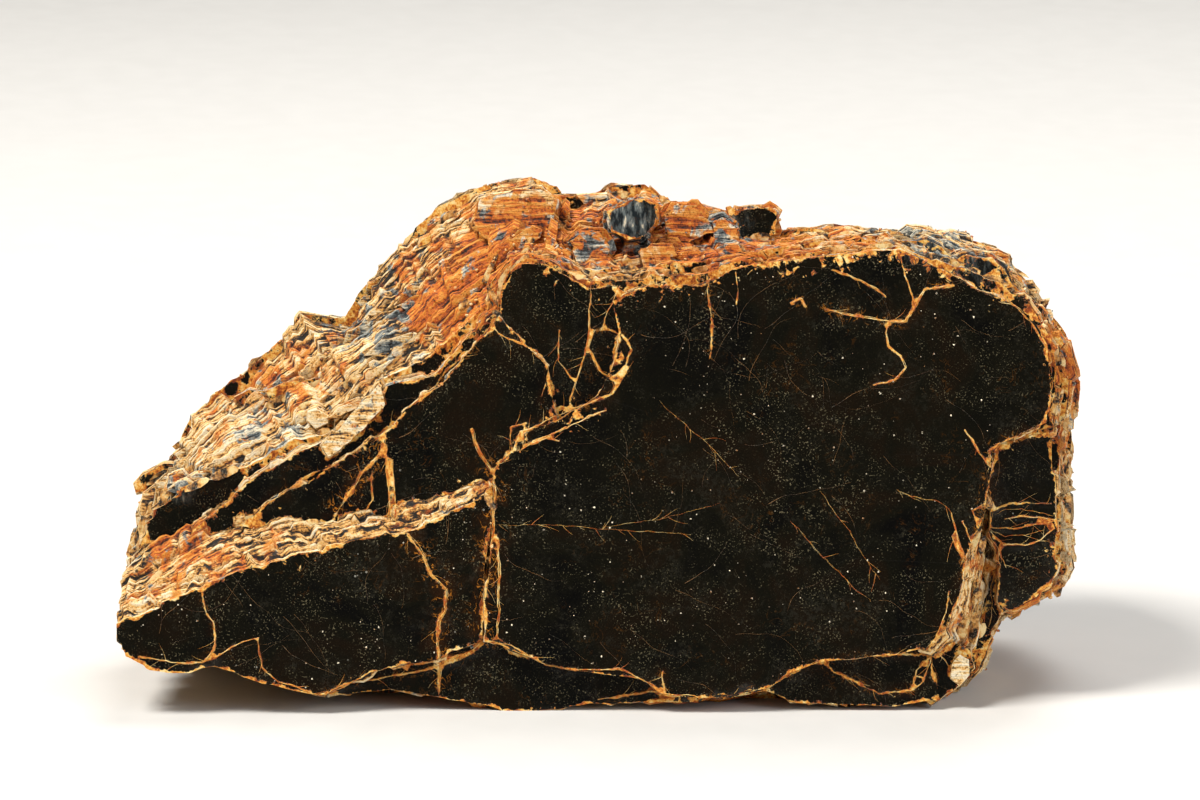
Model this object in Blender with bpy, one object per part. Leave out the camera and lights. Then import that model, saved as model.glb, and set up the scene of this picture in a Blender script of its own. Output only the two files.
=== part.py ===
"""Rough biotite: one weathered book of mica, 73 mm long, standing on its broken lower edge.

The book is laid out in its own cleavage frame, in millimetres: u runs to the right along the
sheets, v up the sheets, and w through the stack, away from the big cleavage face. In the world the
sheets stand upright along X and lean back by LEAN. Overlapping packets of sheets are lofted one by
one and joined into a single closed solid, because the crystal grew and broke as one piece.

An outline is a list of corners, clockwise as seen from the big cleavage face. A corner is
(u, v, du, dv): its place in the packet's near face, and how far it has moved at the far face.
A face is a plane (w, slope_u, slope_v): its depth at u = v = 0, and how that grows along u and v.
"""
import math

import bmesh
import bpy
from mathutils import Vector, noise

MM = 0.001
LEAN = math.radians(12.0)
MIDDLE_DEPTH = 15.0             # where the book is widest
BACK_DEPTH = 23.0               # the far side, before its last two loose plates
BACK_TAPER = 0.89               # the far side's size next to the middle's
BACK_SHIFT = (0.6, 0.4)         # and how far it lies to the right and up of it
SPACING = 2.1                   # between points along a sheet's broken edge
FINE_SPACING = 1.1              # the same on the small blocks
EDGE_SLOPE = 0.1                # a sheet's edge leans by this share of its thickness at each side
CHIP = 0.35                     # how far the sheets' edges are broken in and out
CHIP_LENGTH = 4.0               # along the edge
SHEET_STEP = 3.7                # moves the chipping pattern on from one sheet to the next
BASE_CUT = 6.0                  # height of the block that trims the book level where it stands

BOOK_COLOUR = (0.075, 0.055, 0.032, 1.0)
BOOK_ROUGHNESS = 0.32

# The thick half of the book, from behind the front plates to its widest sheet.
FRONT_HALF = [
    (-29.8, 5.3, -5.0, -0.5), (-33.2, 7.6, -3.3, 0.4), (-34.8, 11.4, -1.9, 0.5),
    (-33.9, 15.2, -1.0, 0.6), (-31.4, 16.8, -3.5, 0.7), (-29.0, 17.6, -4.1, 2.0),
    (-27.1, 18.5, -4.6, 3.8), (-22.6, 20.7, -3.5, 6.5), (-19.9, 21.4, -4.3, 7.3),
    (-18.3, 22.6, -4.8, 7.8), (-16.6, 25.2, -3.0, 4.7), (-14.7, 26.0, -3.8, 5.7),
    (-13.2, 26.4, -3.4, 7.9), (-9.4, 30.2, -2.9, 8.5), (-8.2, 31.1, -1.7, 8.8),
    (-8.0, 32.7, 0.8, 7.8), (-7.0, 34.0, 2.1, 6.8), (-4.0, 34.9, 0.9, 5.3),
    (-2.1, 34.0, -0.2, 5.0), (-0.4, 33.2, -0.2, 6.2), (1.7, 33.4, -0.6, 6.9),
    (5.5, 34.0, -1.8, 6.4), (7.8, 34.0, -2.8, 5.4), (12.7, 34.9, -4.1, 3.2),
    (15.6, 35.2, -1.2, 1.6), (19.9, 35.8, -0.3, 1.4), (24.9, 35.6, -0.1, 1.0),
    (26.9, 34.6, -0.2, 2.3),
    (30.8, 33.1, 0.3, 2.4), (33.1, 31.1, 0.5, 1.4), (35.1, 28.0, 1.3, 0.7),
    (35.6, 25.4, 1.8, 0.0), (35.2, 22.0, 1.6, 0.0), (35.4, 11.4, 1.5, -0.3),
    (34.6, 9.2, 1.4, -0.3), (30.5, 7.3, 0.8, -0.7), (28.7, 3.2, 1.0, -0.1),
    (27.3, 1.5, 0.8, 0.2), (25.2, 0.5, 0.6, 0.7), (6.3, 0.8, 0.9, 0.6),
    (-6.6, 0.3, 0.6, 1.4), (-11.9, 0.8, 0.5, 1.3), (-21.8, 2.0, -0.6, 0.8),
    (-25.6, 2.9, -2.2, 0.7),
]

# The big cleavage face, the flat front of the book.
MAIN_PLATE = [
    (-7.9, 18.3), (-6.4, 19.8), (-5.8, 21.3), (-3.2, 22.0), (0.1, 23.9), (1.7, 27.7),
    (1.1, 31.0), (4.0, 32.2), (7.7, 32.2), (10.7, 33.6), (18.2, 34.5), (22.7, 34.8),
    (25.7, 33.5), (29.1, 31.6), (30.4, 31.3), (32.5, 29.9), (33.8, 27.7), (34.1, 24.7),
    (33.7, 21.8), (30.0, 20.2), (29.5, 17.9), (29.0, 14.9), (27.8, 11.9), (27.0, 8.5),
    (26.2, 6.3), (24.6, 4.8), (22.7, 4.4), (16.7, 3.9), (14.5, 3.1), (12.6, 1.8),
    (9.2, 1.1), (5.1, 1.4), (3.2, 2.5), (-1.7, 3.3), (-3.9, 3.8), (-6.2, 4.8),
    (-8.4, 5.5), (-8.5, 8.5), (-8.1, 11.5), (-7.9, 14.5),
]

# The laminated band that flares out under the big face at the lower right.
RIGHT_BAND = [
    (29.3, 18.3, 0.9, -0.3), (28.9, 14.9, 1.6, -0.3), (27.7, 11.9, 2.8, -0.5),
    (26.8, 8.5, 3.3, -0.7), (26.1, 6.3, 3.2, -1.0), (24.7, 4.9, 2.6, -1.6),
    (22.7, 5.5, 0.5, -0.6), (22.7, 11.5, 0.0, 0.0), (26.5, 18.3, 0.0, 0.0),
]

# The slab at the lower left, whose top side is a slope of broken sheets.
LEFT_SLAB = [
    (-35.9, 5.5, 0.4, 3.2), (-36.0, 6.8, 0.4, 5.2), (-33.5, 8.0, 0.1, 6.4),
    (-29.8, 9.4, -0.9, 7.1), (-26.8, 10.7, -1.9, 7.1), (-22.3, 12.1, -3.0, 6.8),
    (-19.3, 12.7, -3.4, 6.4), (-14.8, 13.6, -3.4, 6.4), (-12.5, 14.5, -3.4, 6.4),
    (-8.8, 16.0, -3.4, 6.0), (-7.9, 17.2, -2.2, 3.0), (-7.9, 14.5, 0.8, 0.0),
    (-8.5, 8.5, 0.8, 0.0), (-8.4, 5.5, 0.8, -0.4), (-11.8, 4.3, 0.0, -0.6),
    (-16.3, 3.3, 0.0, -0.4), (-20.4, 1.4, 0.4, 1.3), (-25.1, 2.3, 0.8, 1.6),
    (-28.7, 3.7, 1.1, 1.9), (-30.5, 3.2, 0.9, 2.4), (-33.5, 3.2, 0.8, 2.8),
    (-35.5, 4.2, 0.6, 3.0),
]

# Thin sheets that stick out along the foot of the front.
LOWER_SHEETS = [
    (-20.0, 4.0), (-11.8, 7.0), (12.2, 7.0), (21.2, 7.8), (25.0, 5.5), (25.7, 1.0),
    (23.1, 0.5), (15.2, 0.8), (12.6, 1.6), (9.2, 1.0), (1.7, 0.8), (-6.4, 0.1),
    (-12.5, 1.2), (-15.5, 1.8), (-20.2, 1.4),
]

# Two cleavage facets on the left, each a step deeper than the last.
LONG_FACET = [
    (-27.2, 14.1), (-24.5, 16.0), (-19.3, 18.9), (-15.9, 21.4), (-13.9, 23.2), (-11.8, 24.7),
    (-8.4, 28.4), (-7.4, 29.8), (-3.7, 26.1), (-2.8, 21.3), (-4.3, 16.0), (-11.8, 13.0),
    (-20.0, 11.5),
]
OUTER_FACET = [
    (-28.7, 8.5), (-30.2, 11.5), (-30.5, 13.8), (-27.7, 16.0), (-26.6, 17.2), (-22.3, 19.9),
    (-17.6, 21.7), (-16.3, 23.2), (-15.8, 24.6), (-12.5, 25.5), (-10.1, 27.9), (-7.6, 30.3),
    (-3.0, 27.0), (-3.0, 12.0), (-20.0, 8.0),
]

# The facets along the upper rim, and the ones down the right side.
UPPER_FACET = [
    (-7.4, 30.1), (-7.3, 31.8), (-6.6, 32.9), (-5.6, 33.8), (-3.9, 33.8), (-0.5, 32.0),
    (1.3, 32.2), (3.2, 31.0), (3.2, 23.5), (-2.0, 20.5), (-3.9, 23.5), (-5.8, 27.7),
]
UPPER_RIM = [
    (-7.6, 30.3), (-7.4, 31.9), (-6.7, 33.1), (-5.6, 34.0), (-3.9, 34.0), (-0.5, 32.4),
    (1.7, 32.7), (7.7, 33.2), (10.3, 33.9), (16.7, 34.7), (22.7, 35.2), (26.5, 33.9),
    (30.4, 32.5), (32.5, 30.6), (34.4, 27.7), (34.7, 25.4), (34.2, 21.3), (28.0, 19.0),
    (0.0, 20.0),
]
RIGHT_PLATEAU = [
    (29.4, 19.8), (34.0, 21.4), (34.4, 20.5), (34.7, 13.0), (34.8, 10.6), (34.2, 9.5),
    (32.8, 8.5), (30.4, 7.3), (29.9, 8.6), (30.2, 12.4), (29.4, 13.6),
]
CORNER_LENS = [
    (23.6, 1.3), (23.8, 3.1), (25.1, 4.8), (26.8, 5.5), (28.1, 4.8), (28.3, 3.4), (26.8, 1.8),
    (25.1, 0.7),
]
TOP_RIGHT_FACET = [
    (26.3, 34.0), (27.7, 34.6), (29.8, 34.3), (30.7, 33.4), (31.5, 32.1), (29.8, 31.6),
    (27.7, 32.2),
]

# Broken blocks along the top edge.
SUMMIT_BLOCK = [
    (-9.6, 37.2), (-9.0, 38.9), (-6.7, 39.4), (-4.4, 39.6), (-3.2, 38.8), (-3.5, 37.0),
    (-5.9, 35.8), (-8.6, 35.9),
]
BLUE_BLOCK = [
    (0.7, 37.9), (1.9, 38.6), (3.6, 38.8), (4.5, 38.4), (4.4, 37.1), (3.6, 36.1), (2.3, 35.8),
    (1.1, 36.4),
]
BROWN_BLOCK = [
    (5.2, 37.7), (5.8, 38.6), (7.6, 38.6), (8.3, 37.6), (8.8, 36.4), (7.1, 35.4), (5.4, 35.7),
]
SKYLINE_PLATE = [
    (9.8, 37.3), (10.0, 38.2), (13.2, 38.4), (13.8, 38.0), (13.8, 36.2), (12.1, 35.4),
    (10.4, 35.6),
]
SHOULDER_BLOCK = [(8.6, 37.2), (9.5, 37.5), (10.6, 36.7), (10.9, 34.8), (8.8, 34.6)]
VALLEY_BLOCK = [(-2.1, 35.7), (-1.2, 36.4), (0.2, 36.3), (1.1, 35.0), (0.2, 33.4), (-1.2, 33.4)]
RIDGE_BLOCK = [(3.2, 34.8), (4.1, 35.6), (5.8, 35.5), (6.3, 34.5), (4.9, 33.2), (3.5, 33.2)]

# A pale wedge below the left ridge, and a pale scale at the lower right corner.
PALE_WEDGE = [
    (-20.8, 20.1), (-18.6, 22.6), (-16.4, 24.9), (-15.9, 22.9), (-18.6, 20.4), (-20.3, 19.3),
]
PALE_SCALE = [(26.6, 2.6), (26.7, 4.0), (27.3, 4.5), (27.9, 4.0), (27.9, 2.9), (27.2, 2.0)]


def clear_scene():
    """Start from an empty scene."""
    for leftover in list(bpy.data.objects):
        bpy.data.objects.remove(leftover, do_unlink=True)


def mica_material():
    """Dark, glossy biotite."""
    material = bpy.data.materials.new("biotite")
    material.use_nodes = True
    shader = material.node_tree.nodes["Principled BSDF"]
    shader.inputs["Base Color"].default_value = BOOK_COLOUR
    shader.inputs["Roughness"].default_value = BOOK_ROUGHNESS
    shader.inputs["Metallic"].default_value = 0.0
    return material


def book_to_world(u, v, w):
    """A point of the cleavage frame, in millimetres, as a point of the world, in metres."""
    y = w * math.cos(LEAN) + v * math.sin(LEAN)
    z = v * math.cos(LEAN) - w * math.sin(LEAN)
    return Vector((u, y, z)) * MM


def outward(points, index):
    """The direction out of a clockwise outline at one of its points."""
    before = points[index - 1]
    after = points[(index + 1) % len(points)]
    along = Vector((after[0] - before[0], after[1] - before[1])).normalized()
    return Vector((-along.y, along.x))


def spread(points, amount):
    """An outline of (u, v) corners that grows by the same amount all round at its far face."""
    corners = []
    for index, (u, v) in enumerate(points):
        out = outward(points, index)
        corners.append((u, v, amount * out.x, amount * out.y))
    return corners


def far_outline(outline, scale=1.0, shift=(0.0, 0.0)):
    """The (u, v) corners of an outline's far face, drawn in towards their middle."""
    far = [(u + du, v + dv) for u, v, du, dv in outline]
    middle_u = sum(u for u, v in far) / len(far)
    middle_v = sum(v for u, v in far) / len(far)
    corners = []
    for u, v in far:
        new_u = middle_u + scale * (u - middle_u) + shift[0]
        new_v = middle_v + scale * (v - middle_v) + shift[1]
        corners.append((new_u, new_v))
    return corners


def between(near_corners, far_corners):
    """An outline that runs from one list of (u, v) corners to another of the same length."""
    pairs = zip(near_corners, far_corners)
    return [(u, v, far_u - u, far_v - v) for (u, v), (far_u, far_v) in pairs]


def finely_spaced(outline, spacing):
    """The outline with points added along its longer sides."""
    points = []
    for index, start in enumerate(outline):
        end = outline[(index + 1) % len(outline)]
        length = math.hypot(end[0] - start[0], end[1] - start[1])
        steps = max(1, round(length / spacing))
        for step in range(steps):
            share = step / steps
            points.append(tuple(a + share * (b - a) for a, b in zip(start, end)))
    return points


def plane_depth(plane, u, v):
    """How deep a face (w, slope_u, slope_v) lies at one place."""
    return plane[0] + plane[1] * u + plane[2] * v


def sheet_stack(name, outline, near, far, sheets, spacing=SPACING, chip=CHIP):
    """One closed packet: rings around each sheet's edge, bridged, with a cap at each face."""
    points = finely_spaced(outline, spacing)
    packet = bmesh.new()
    rings = []
    for sheet in range(sheets):
        moved = (sheet + 0.5) / sheets
        front_edge = sheet + (EDGE_SLOPE if sheet > 0 else 0.0)
        back_edge = sheet + 1 - (EDGE_SLOPE if sheet < sheets - 1 else 0.0)
        for edge in (front_edge, back_edge):
            ring = []
            for index, (u, v, du, dv) in enumerate(points):
                out = outward(points, index)
                here = Vector((u / CHIP_LENGTH, v / CHIP_LENGTH, near[0] + SHEET_STEP * sheet))
                broken = chip * noise.noise(here)
                ring_u = u + moved * du + broken * out.x
                ring_v = v + moved * dv + broken * out.y
                near_w = plane_depth(near, ring_u, ring_v)
                far_w = plane_depth(far, ring_u, ring_v)
                w = near_w + (far_w - near_w) * edge / sheets
                ring.append(packet.verts.new(book_to_world(ring_u, ring_v, w)))
            rings.append(ring)
    for ring, behind in zip(rings, rings[1:]):
        for index in range(len(ring)):
            following = (index + 1) % len(ring)
            packet.faces.new((ring[index], ring[following], behind[following], behind[index]))
    caps = [packet.faces.new(rings[0]), packet.faces.new(rings[-1])]
    bmesh.ops.triangulate(packet, faces=caps)
    bmesh.ops.recalc_face_normals(packet, faces=packet.faces)
    mesh = bpy.data.meshes.new(name)
    packet.to_mesh(mesh)
    packet.free()
    packet_object = bpy.data.objects.new(name, mesh)
    bpy.context.collection.objects.link(packet_object)
    return packet_object


def ground_block():
    """The block below the floor that trims the book's foot level."""
    bpy.ops.mesh.primitive_cube_add(size=1.0)
    block = bpy.context.object
    block.name = "ground_block"
    block.scale = (200.0 * MM, 200.0 * MM, BASE_CUT * MM)
    block.location = (0.0, 0.0, -0.5 * BASE_CUT * MM)
    return block


def front_packets():
    """The plates and facets of the front, each reaching back into the thick half."""
    return [
        sheet_stack("main_plate", spread(MAIN_PLATE, 0.5), (0.0, 0.0, 0.0), (5.6, 0.0, 0.0), 3),
        sheet_stack("right_band", RIGHT_BAND, (0.3, 0.0, 0.0), (4.4, 0.0, 0.0), 4),
        sheet_stack("left_slab", LEFT_SLAB, (0.7, 0.05, 0.0), (9.5, 0.03, 0.0), 6),
        sheet_stack("lower_sheets", spread(LOWER_SHEETS, -0.6), (0.9, 0.0, 0.0), (6.4, 0.0, 0.0), 3),
        sheet_stack("long_facet", spread(LONG_FACET, 0.5), (-0.2, -0.115, 0.0), (6.0, -0.03, 0.0), 3),
        sheet_stack("outer_facet", spread(OUTER_FACET, 1.0), (1.1, -0.1, 0.0), (6.5, -0.03, 0.0), 3),
        sheet_stack("upper_facet", spread(UPPER_FACET, 0.4), (0.9, 0.0, 0.0), (5.8, 0.0, 0.0), 2),
        sheet_stack("upper_rim", spread(UPPER_RIM, 0.7), (1.6, 0.0, 0.0), (5.9, 0.0, 0.0), 3),
        sheet_stack("right_plateau", spread(RIGHT_PLATEAU, 0.5), (2.7, 0.0, -0.06),
                    (7.2, 0.0, 0.0), 3),
        sheet_stack("corner_lens", spread(CORNER_LENS, 0.4), (1.3, 0.0, 0.0), (6.0, 0.0, 0.0), 2,
                    FINE_SPACING),
        sheet_stack("top_right_facet", spread(TOP_RIGHT_FACET, 0.5), (3.2, 0.0, 0.0),
                    (7.0, 0.0, 0.0), 2, FINE_SPACING),
        sheet_stack("pale_wedge", spread(PALE_WEDGE, 0.2), (2.2, 0.0, 0.0), (7.5, 0.0, 0.0), 2,
                    FINE_SPACING),
        sheet_stack("pale_scale", spread(PALE_SCALE, 0.3), (0.8, 0.0, 0.0), (3.0, 0.0, 0.0), 2,
                    FINE_SPACING),
    ]


def top_blocks():
    """The broken blocks along the top edge."""
    return [
        sheet_stack("summit_block", spread(SUMMIT_BLOCK, 0.8), (9.0, 0.0, 0.0),
                    (15.5, 0.0, 0.0), 3, FINE_SPACING),
        sheet_stack("blue_block", spread(BLUE_BLOCK, 0.4), (5.8, 0.0, 0.0), (12.5, 0.0, 0.0), 3,
                    FINE_SPACING),
        sheet_stack("brown_block", spread(BROWN_BLOCK, 0.5), (8.0, 0.0, 0.0), (14.0, 0.0, 0.0), 3,
                    FINE_SPACING),
        sheet_stack("skyline_plate", spread(SKYLINE_PLATE, 0.2), (10.0, 0.0, 0.0),
                    (13.5, 0.0, 0.0), 2, FINE_SPACING),
        sheet_stack("shoulder_block", spread(SHOULDER_BLOCK, 0.3), (8.0, 0.0, 0.0),
                    (12.5, 0.0, 0.0), 2, FINE_SPACING),
        sheet_stack("valley_block", spread(VALLEY_BLOCK, 0.5), (6.0, 0.0, 0.0),
                    (10.5, 0.0, 0.0), 2, FINE_SPACING),
        sheet_stack("ridge_block", spread(RIDGE_BLOCK, 0.4), (5.0, 0.0, 0.0), (9.5, 0.0, 0.0), 2,
                    FINE_SPACING),
    ]


def back_packets():
    """The far half of the book, with two loose plates left on its reverse."""
    middle = far_outline(FRONT_HALF)
    reverse = far_outline(FRONT_HALF, BACK_TAPER, BACK_SHIFT)
    wide_plate = far_outline(FRONT_HALF, 0.78, (2.0, 1.4))
    small_plate = far_outline(FRONT_HALF, 0.46, (9.0, 4.0))
    return [
        sheet_stack("back_half", between(middle, reverse), (MIDDLE_DEPTH - 0.6, 0.0, 0.0),
                    (BACK_DEPTH, 0.0, 0.0), 5),
        sheet_stack("reverse_plate", spread(wide_plate, -0.5), (BACK_DEPTH - 1.0, 0.0, 0.0),
                    (BACK_DEPTH + 0.9, 0.01, 0.0), 2),
        sheet_stack("reverse_flake", spread(small_plate, -0.3), (BACK_DEPTH, 0.0, 0.0),
                    (BACK_DEPTH + 1.7, 0.01, 0.0), 2),
    ]


def join_packets(book, packets):
    """Unite the packets with the book, trim the foot level, and apply it all."""
    packet_group = bpy.data.collections.new("packets")
    for packet in packets:
        packet_group.objects.link(packet)
    union = book.modifiers.new("union", "BOOLEAN")
    union.operation = "UNION"
    union.operand_type = "COLLECTION"
    union.collection = packet_group
    ground = ground_block()
    trim = book.modifiers.new("trim", "BOOLEAN")
    trim.operation = "DIFFERENCE"
    trim.object = ground
    graph = bpy.context.evaluated_depsgraph_get()
    joined = bpy.data.meshes.new_from_object(book.evaluated_get(graph))
    book.modifiers.clear()
    book.data = joined
    for helper in packets + [ground]:
        bpy.data.objects.remove(helper, do_unlink=True)
    bpy.data.collections.remove(packet_group)


def triangulate(book):
    """Make every face a triangle."""
    surface = bmesh.new()
    surface.from_mesh(book.data)
    bmesh.ops.triangulate(surface, faces=surface.faces)
    surface.to_mesh(book.data)
    surface.free()


def centre_on_base(book):
    """Put the origin in the middle of the bounding box's underside."""
    xs = [vertex.co.x for vertex in book.data.vertices]
    ys = [vertex.co.y for vertex in book.data.vertices]
    zs = [vertex.co.z for vertex in book.data.vertices]
    middle = Vector(((min(xs) + max(xs)) / 2, (min(ys) + max(ys)) / 2, min(zs)))
    for vertex in book.data.vertices:
        vertex.co -= middle


def main():
    """Build the biotite."""
    clear_scene()
    book = sheet_stack("biotite", FRONT_HALF, (4.9, -0.03, 0.0), (MIDDLE_DEPTH, 0.0, 0.0), 7)
    join_packets(book, front_packets() + top_blocks() + back_packets())
    triangulate(book)
    centre_on_base(book)
    book.data.materials.clear()
    book.data.materials.append(mica_material())


main()
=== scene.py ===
"""Looks of the rough biotite: its sheets, broken edges, stained cracks, crust and dust.

Everything is laid out in the stone's own cleavage frame, in millimetres: u runs to the right along
the sheets, v up them, and w through the stack, away from the big cleavage face. Each packet of
sheets is built with every sheet's broken edge, the packets are joined into one closed surface in
place of the plain CAD solid, and cracks, flakes, grains and dust are added to it.

An outline is a list of corners, clockwise as seen from the big cleavage face. A corner is
(u, v, du, dv): its place in the packet's near face, and how far it has moved at the far face.
A face is a plane (w, slope_u, slope_v): its depth at u = v = 0, and how that grows along u and v.
"""
import math
import random

import bmesh
import bpy
import numpy as np
from mathutils import Matrix, Vector, noise
from mathutils.bvhtree import BVHTree
from mathutils.geometry import delaunay_2d_cdt
from mathutils.kdtree import KDTree


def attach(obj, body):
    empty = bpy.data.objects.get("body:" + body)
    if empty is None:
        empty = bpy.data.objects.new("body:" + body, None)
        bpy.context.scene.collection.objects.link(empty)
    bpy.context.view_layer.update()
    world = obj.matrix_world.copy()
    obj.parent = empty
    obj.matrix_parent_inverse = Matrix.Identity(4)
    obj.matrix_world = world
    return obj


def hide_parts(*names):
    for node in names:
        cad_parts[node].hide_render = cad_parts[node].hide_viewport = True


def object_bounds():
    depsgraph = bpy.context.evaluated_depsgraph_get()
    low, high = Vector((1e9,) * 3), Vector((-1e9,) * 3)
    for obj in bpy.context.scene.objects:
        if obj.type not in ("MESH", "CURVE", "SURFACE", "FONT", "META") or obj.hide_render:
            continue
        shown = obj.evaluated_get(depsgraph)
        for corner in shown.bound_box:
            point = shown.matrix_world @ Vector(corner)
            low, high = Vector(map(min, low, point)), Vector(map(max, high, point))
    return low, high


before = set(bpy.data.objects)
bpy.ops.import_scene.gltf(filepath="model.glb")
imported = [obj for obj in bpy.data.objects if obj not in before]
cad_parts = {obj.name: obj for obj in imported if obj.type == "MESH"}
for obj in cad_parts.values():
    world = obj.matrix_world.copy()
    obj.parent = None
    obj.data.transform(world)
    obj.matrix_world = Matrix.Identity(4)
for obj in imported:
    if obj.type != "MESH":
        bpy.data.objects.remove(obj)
cad_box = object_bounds()

MM = 0.001
LEAN = math.radians(12.0)               # the sheets lean back by this much
ORIGIN = (0.377, 15.692, 0.0)           # the model's origin, from where u = v = w = 0, in mm
BOOK_NEAR = 4.9                         # where the thick half begins, behind the front plates
MIDDLE_DEPTH = 15.0                     # where the book is widest
BACK_DEPTH = 23.0                       # the far side, before its loose plates and scales
BACK_TAPER = 0.89                       # the far side's size next to the middle's
BACK_SHIFT = (0.6, 0.4)                 # and how far it lies to the right and up of it
MAIN_FACE = (0.0, 0.0, 0.0)             # the big cleavage face, as a plane
SLAB_FACE = (0.7, 0.05, 0.0)            # the left slab's face
TRIM_SIZE = (0.2, 0.2, 0.01)            # metres, of the block that levels the foot

SHEET = 0.27                            # usual thickness of a sheet on the walls that show most
COARSE_SHEET = 0.55                     # the same at the back
SHEET_WEIGHTS = (0.45, 0.7, 1.0, 1.0, 1.5, 2.2)     # how thick sheets are next to each other
TREADS = (0.1, 0.2, 0.3, 0.5, 1.2)      # how far one sheet's edge lies behind the last one's
NEW_GROUP_SHARE = 0.3                   # how often the sheets start to break in another way
GAP_SHARE, GAP_DEPTH = 0.13, 0.8        # how often a sheet is broken back deep, and how deep
PROUD = 0.22                            # how far broken edges stand out of their outline
BLOCKS, SMALL_BLOCKS = 0.30, 0.13       # how far they go in and out of that, block by block
PACKET_WAVE = (0.24, 4.2)               # and in waves that a packet's sheets share: how far and long
SHEET_WAVES = ((0.06, 0.8), (0.05, 0.3))            # and in each sheet's own
LIP = 0.06                              # share of a sheet's thickness that its edge rounds off
PACKET_TRIES, CALMER = 5, 0.6           # a packet that doesn't close is tried with smaller chips
GLASSY, WEATHERED = 1.0, 0.25           # marks cleavage faces, and blocks' faces that have dulled
STREAK_TILT = math.radians(35.0)        # how the streaks rise across a weathered block

EDGE_STEP = 0.33                        # between points along a sheet's edge
COARSE_STEP = 0.75                      # the same under the foot and at the back
FOOT = 4.0                              # outlines are coarse below this height
FACE_STEP = 0.85                        # between points across a cleavage face
FACE_CLEAR = 0.4                        # from a face's outline to the points inside it
FLAT_SHADE_ANGLE = math.radians(27.0)   # edges sharper than this are shaded as sharp
RIM_REACH = 0.9                         # how far from its broken edge a face is bent

VEIN_STEP = 0.3                         # between points along a crack
VEIN_WANDER = 0.16                      # how far a crack strays from its line
VEIN_HEIGHT = 0.03                      # how far its filling stands out
CRACK_CLEAR = 0.3                       # from a crack to the points at its sides
GRID_CLEAR = 0.32                       # from a crack's points to the rest of the face's
SIDE_GAP = 0.25                         # between two points beside cracks
STAINED_WIDTH = 0.07                    # narrower cracks leave the face around them clean
FULL_STAIN_WIDTH = 0.3                  # half width of a crack that stains the face fully
NO_CRACK = 99.0                         # stands for the distance where no crack is near

RUBBLE_COUNT, RUBBLE_LOWEST = 50, 10.0  # small broken blocks on the slopes, and their least v
FLAKES_ON_WALL, FLAKES_ON_RIM, FLAKES_ON_BAND, FLAKES_ON_SLAB = 200, 110, 40, 40
FLAKE_LOWEST, FLAKE_CORNERS = 3.0, 9
GRAIN_COUNT = 1600                      # grains of crust
GRAIN_SIZES, DUST_SIZES = (0.14, 0.18, 0.24, 0.34), (0.06, 0.08, 0.1, 0.16)
CRUST_DEPTH, CRUST_LEVEL = 20.0, 8.0    # crust sticks nearer than this, and above this line
CRUST_TILT = 0.2                        # by which that line falls to the right
DUST_ON_PLATE, DUST_ON_SLAB = 260, 60
SMALL_BACK_CRACKS = 18                  # on the reverse
BACK_CRACK_STEP = 1.7                   # between their corners
FRAY_SHARE = 0.35                       # how often a fibre leaves a crack
FIBRE_STEP = 0.35                       # between its points
THREAD_JUMP = 0.7                       # a thread ends where the stone drops by more than this
HAIRLINE_COUNT = 260                    # faint fibres on the cleavage faces
SEEDS = {"back_cracks": 61, "rubble": 5, "flakes": 11, "grains": 23, "threads": 47,
         "hairlines": 53, "dust": 31}

CAMERA_DISTANCE = 0.4                   # metres, in front of the main face
CAMERA_AIM = (0.2, 23.55)               # the (u, v) it looks at, in mm
FRAME_WIDTH = 0.09                      # what the frame takes in there
SENSOR_WIDTH = 36.0                     # of the camera, in mm
FLOOR_SIZE = 6.0                        # metres, from the stone to each side of the floor
LIGHT_AIM = (0.0, 0.0, 0.02)
LIGHTS = [                              # name, place in metres, size, power in watts, colour
    ("key", (-0.28, -0.12, 0.54), 0.20, 5.4, (1.0, 0.96, 0.90)),
    ("fill", (0.45, -0.22, 0.22), 0.35, 2.0, (0.96, 0.97, 1.0)),
    ("back", (0.10, 0.30, 0.50), 0.30, 2.4, (1.0, 0.98, 0.95)),
]

# Colours
DARK_MICA, GREEN_MICA = (0.0008, 0.0007, 0.0005), (0.0034, 0.0030, 0.0011)
BROWN_MICA, HAZE = (0.0065, 0.0034, 0.0010), (0.010, 0.0085, 0.004)
FROST, HAIRLINE = (0.18, 0.155, 0.09), (0.14, 0.070, 0.018)
DUST, HALO = (0.34, 0.33, 0.28), (0.060, 0.018, 0.003)
RUST, ORANGE = (0.30, 0.065, 0.007), (0.66, 0.235, 0.025)
GOLD, CREAM = (0.79, 0.45, 0.09), (0.89, 0.68, 0.31)
# The first colour on the next line serves for dark grit and pits, and also for painted shade in the
# nooks of the broken edges.
SOOT_AND_SHADE, EDGE_DARK, TAN = (0.006, 0.005, 0.004), (0.022, 0.015, 0.008), (0.30, 0.13, 0.030)
EDGE_GOLD, EDGE_CREAM, SALT = (0.74, 0.37, 0.08), (0.85, 0.62, 0.30), (0.86, 0.76, 0.56)
DEEP_RUST, RUST_ORANGE = (0.15, 0.026, 0.004), (0.56, 0.12, 0.010)
COOL_DARK, COOL_GREY = (0.014, 0.020, 0.024), (0.18, 0.21, 0.21)
PAPER_DARK, PAPER_LIGHT = (0.585, 0.58, 0.565), (0.60, 0.595, 0.58)
SURROUNDINGS, SURROUNDINGS_STRENGTH = (0.86, 0.83, 0.78), 0.16
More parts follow.
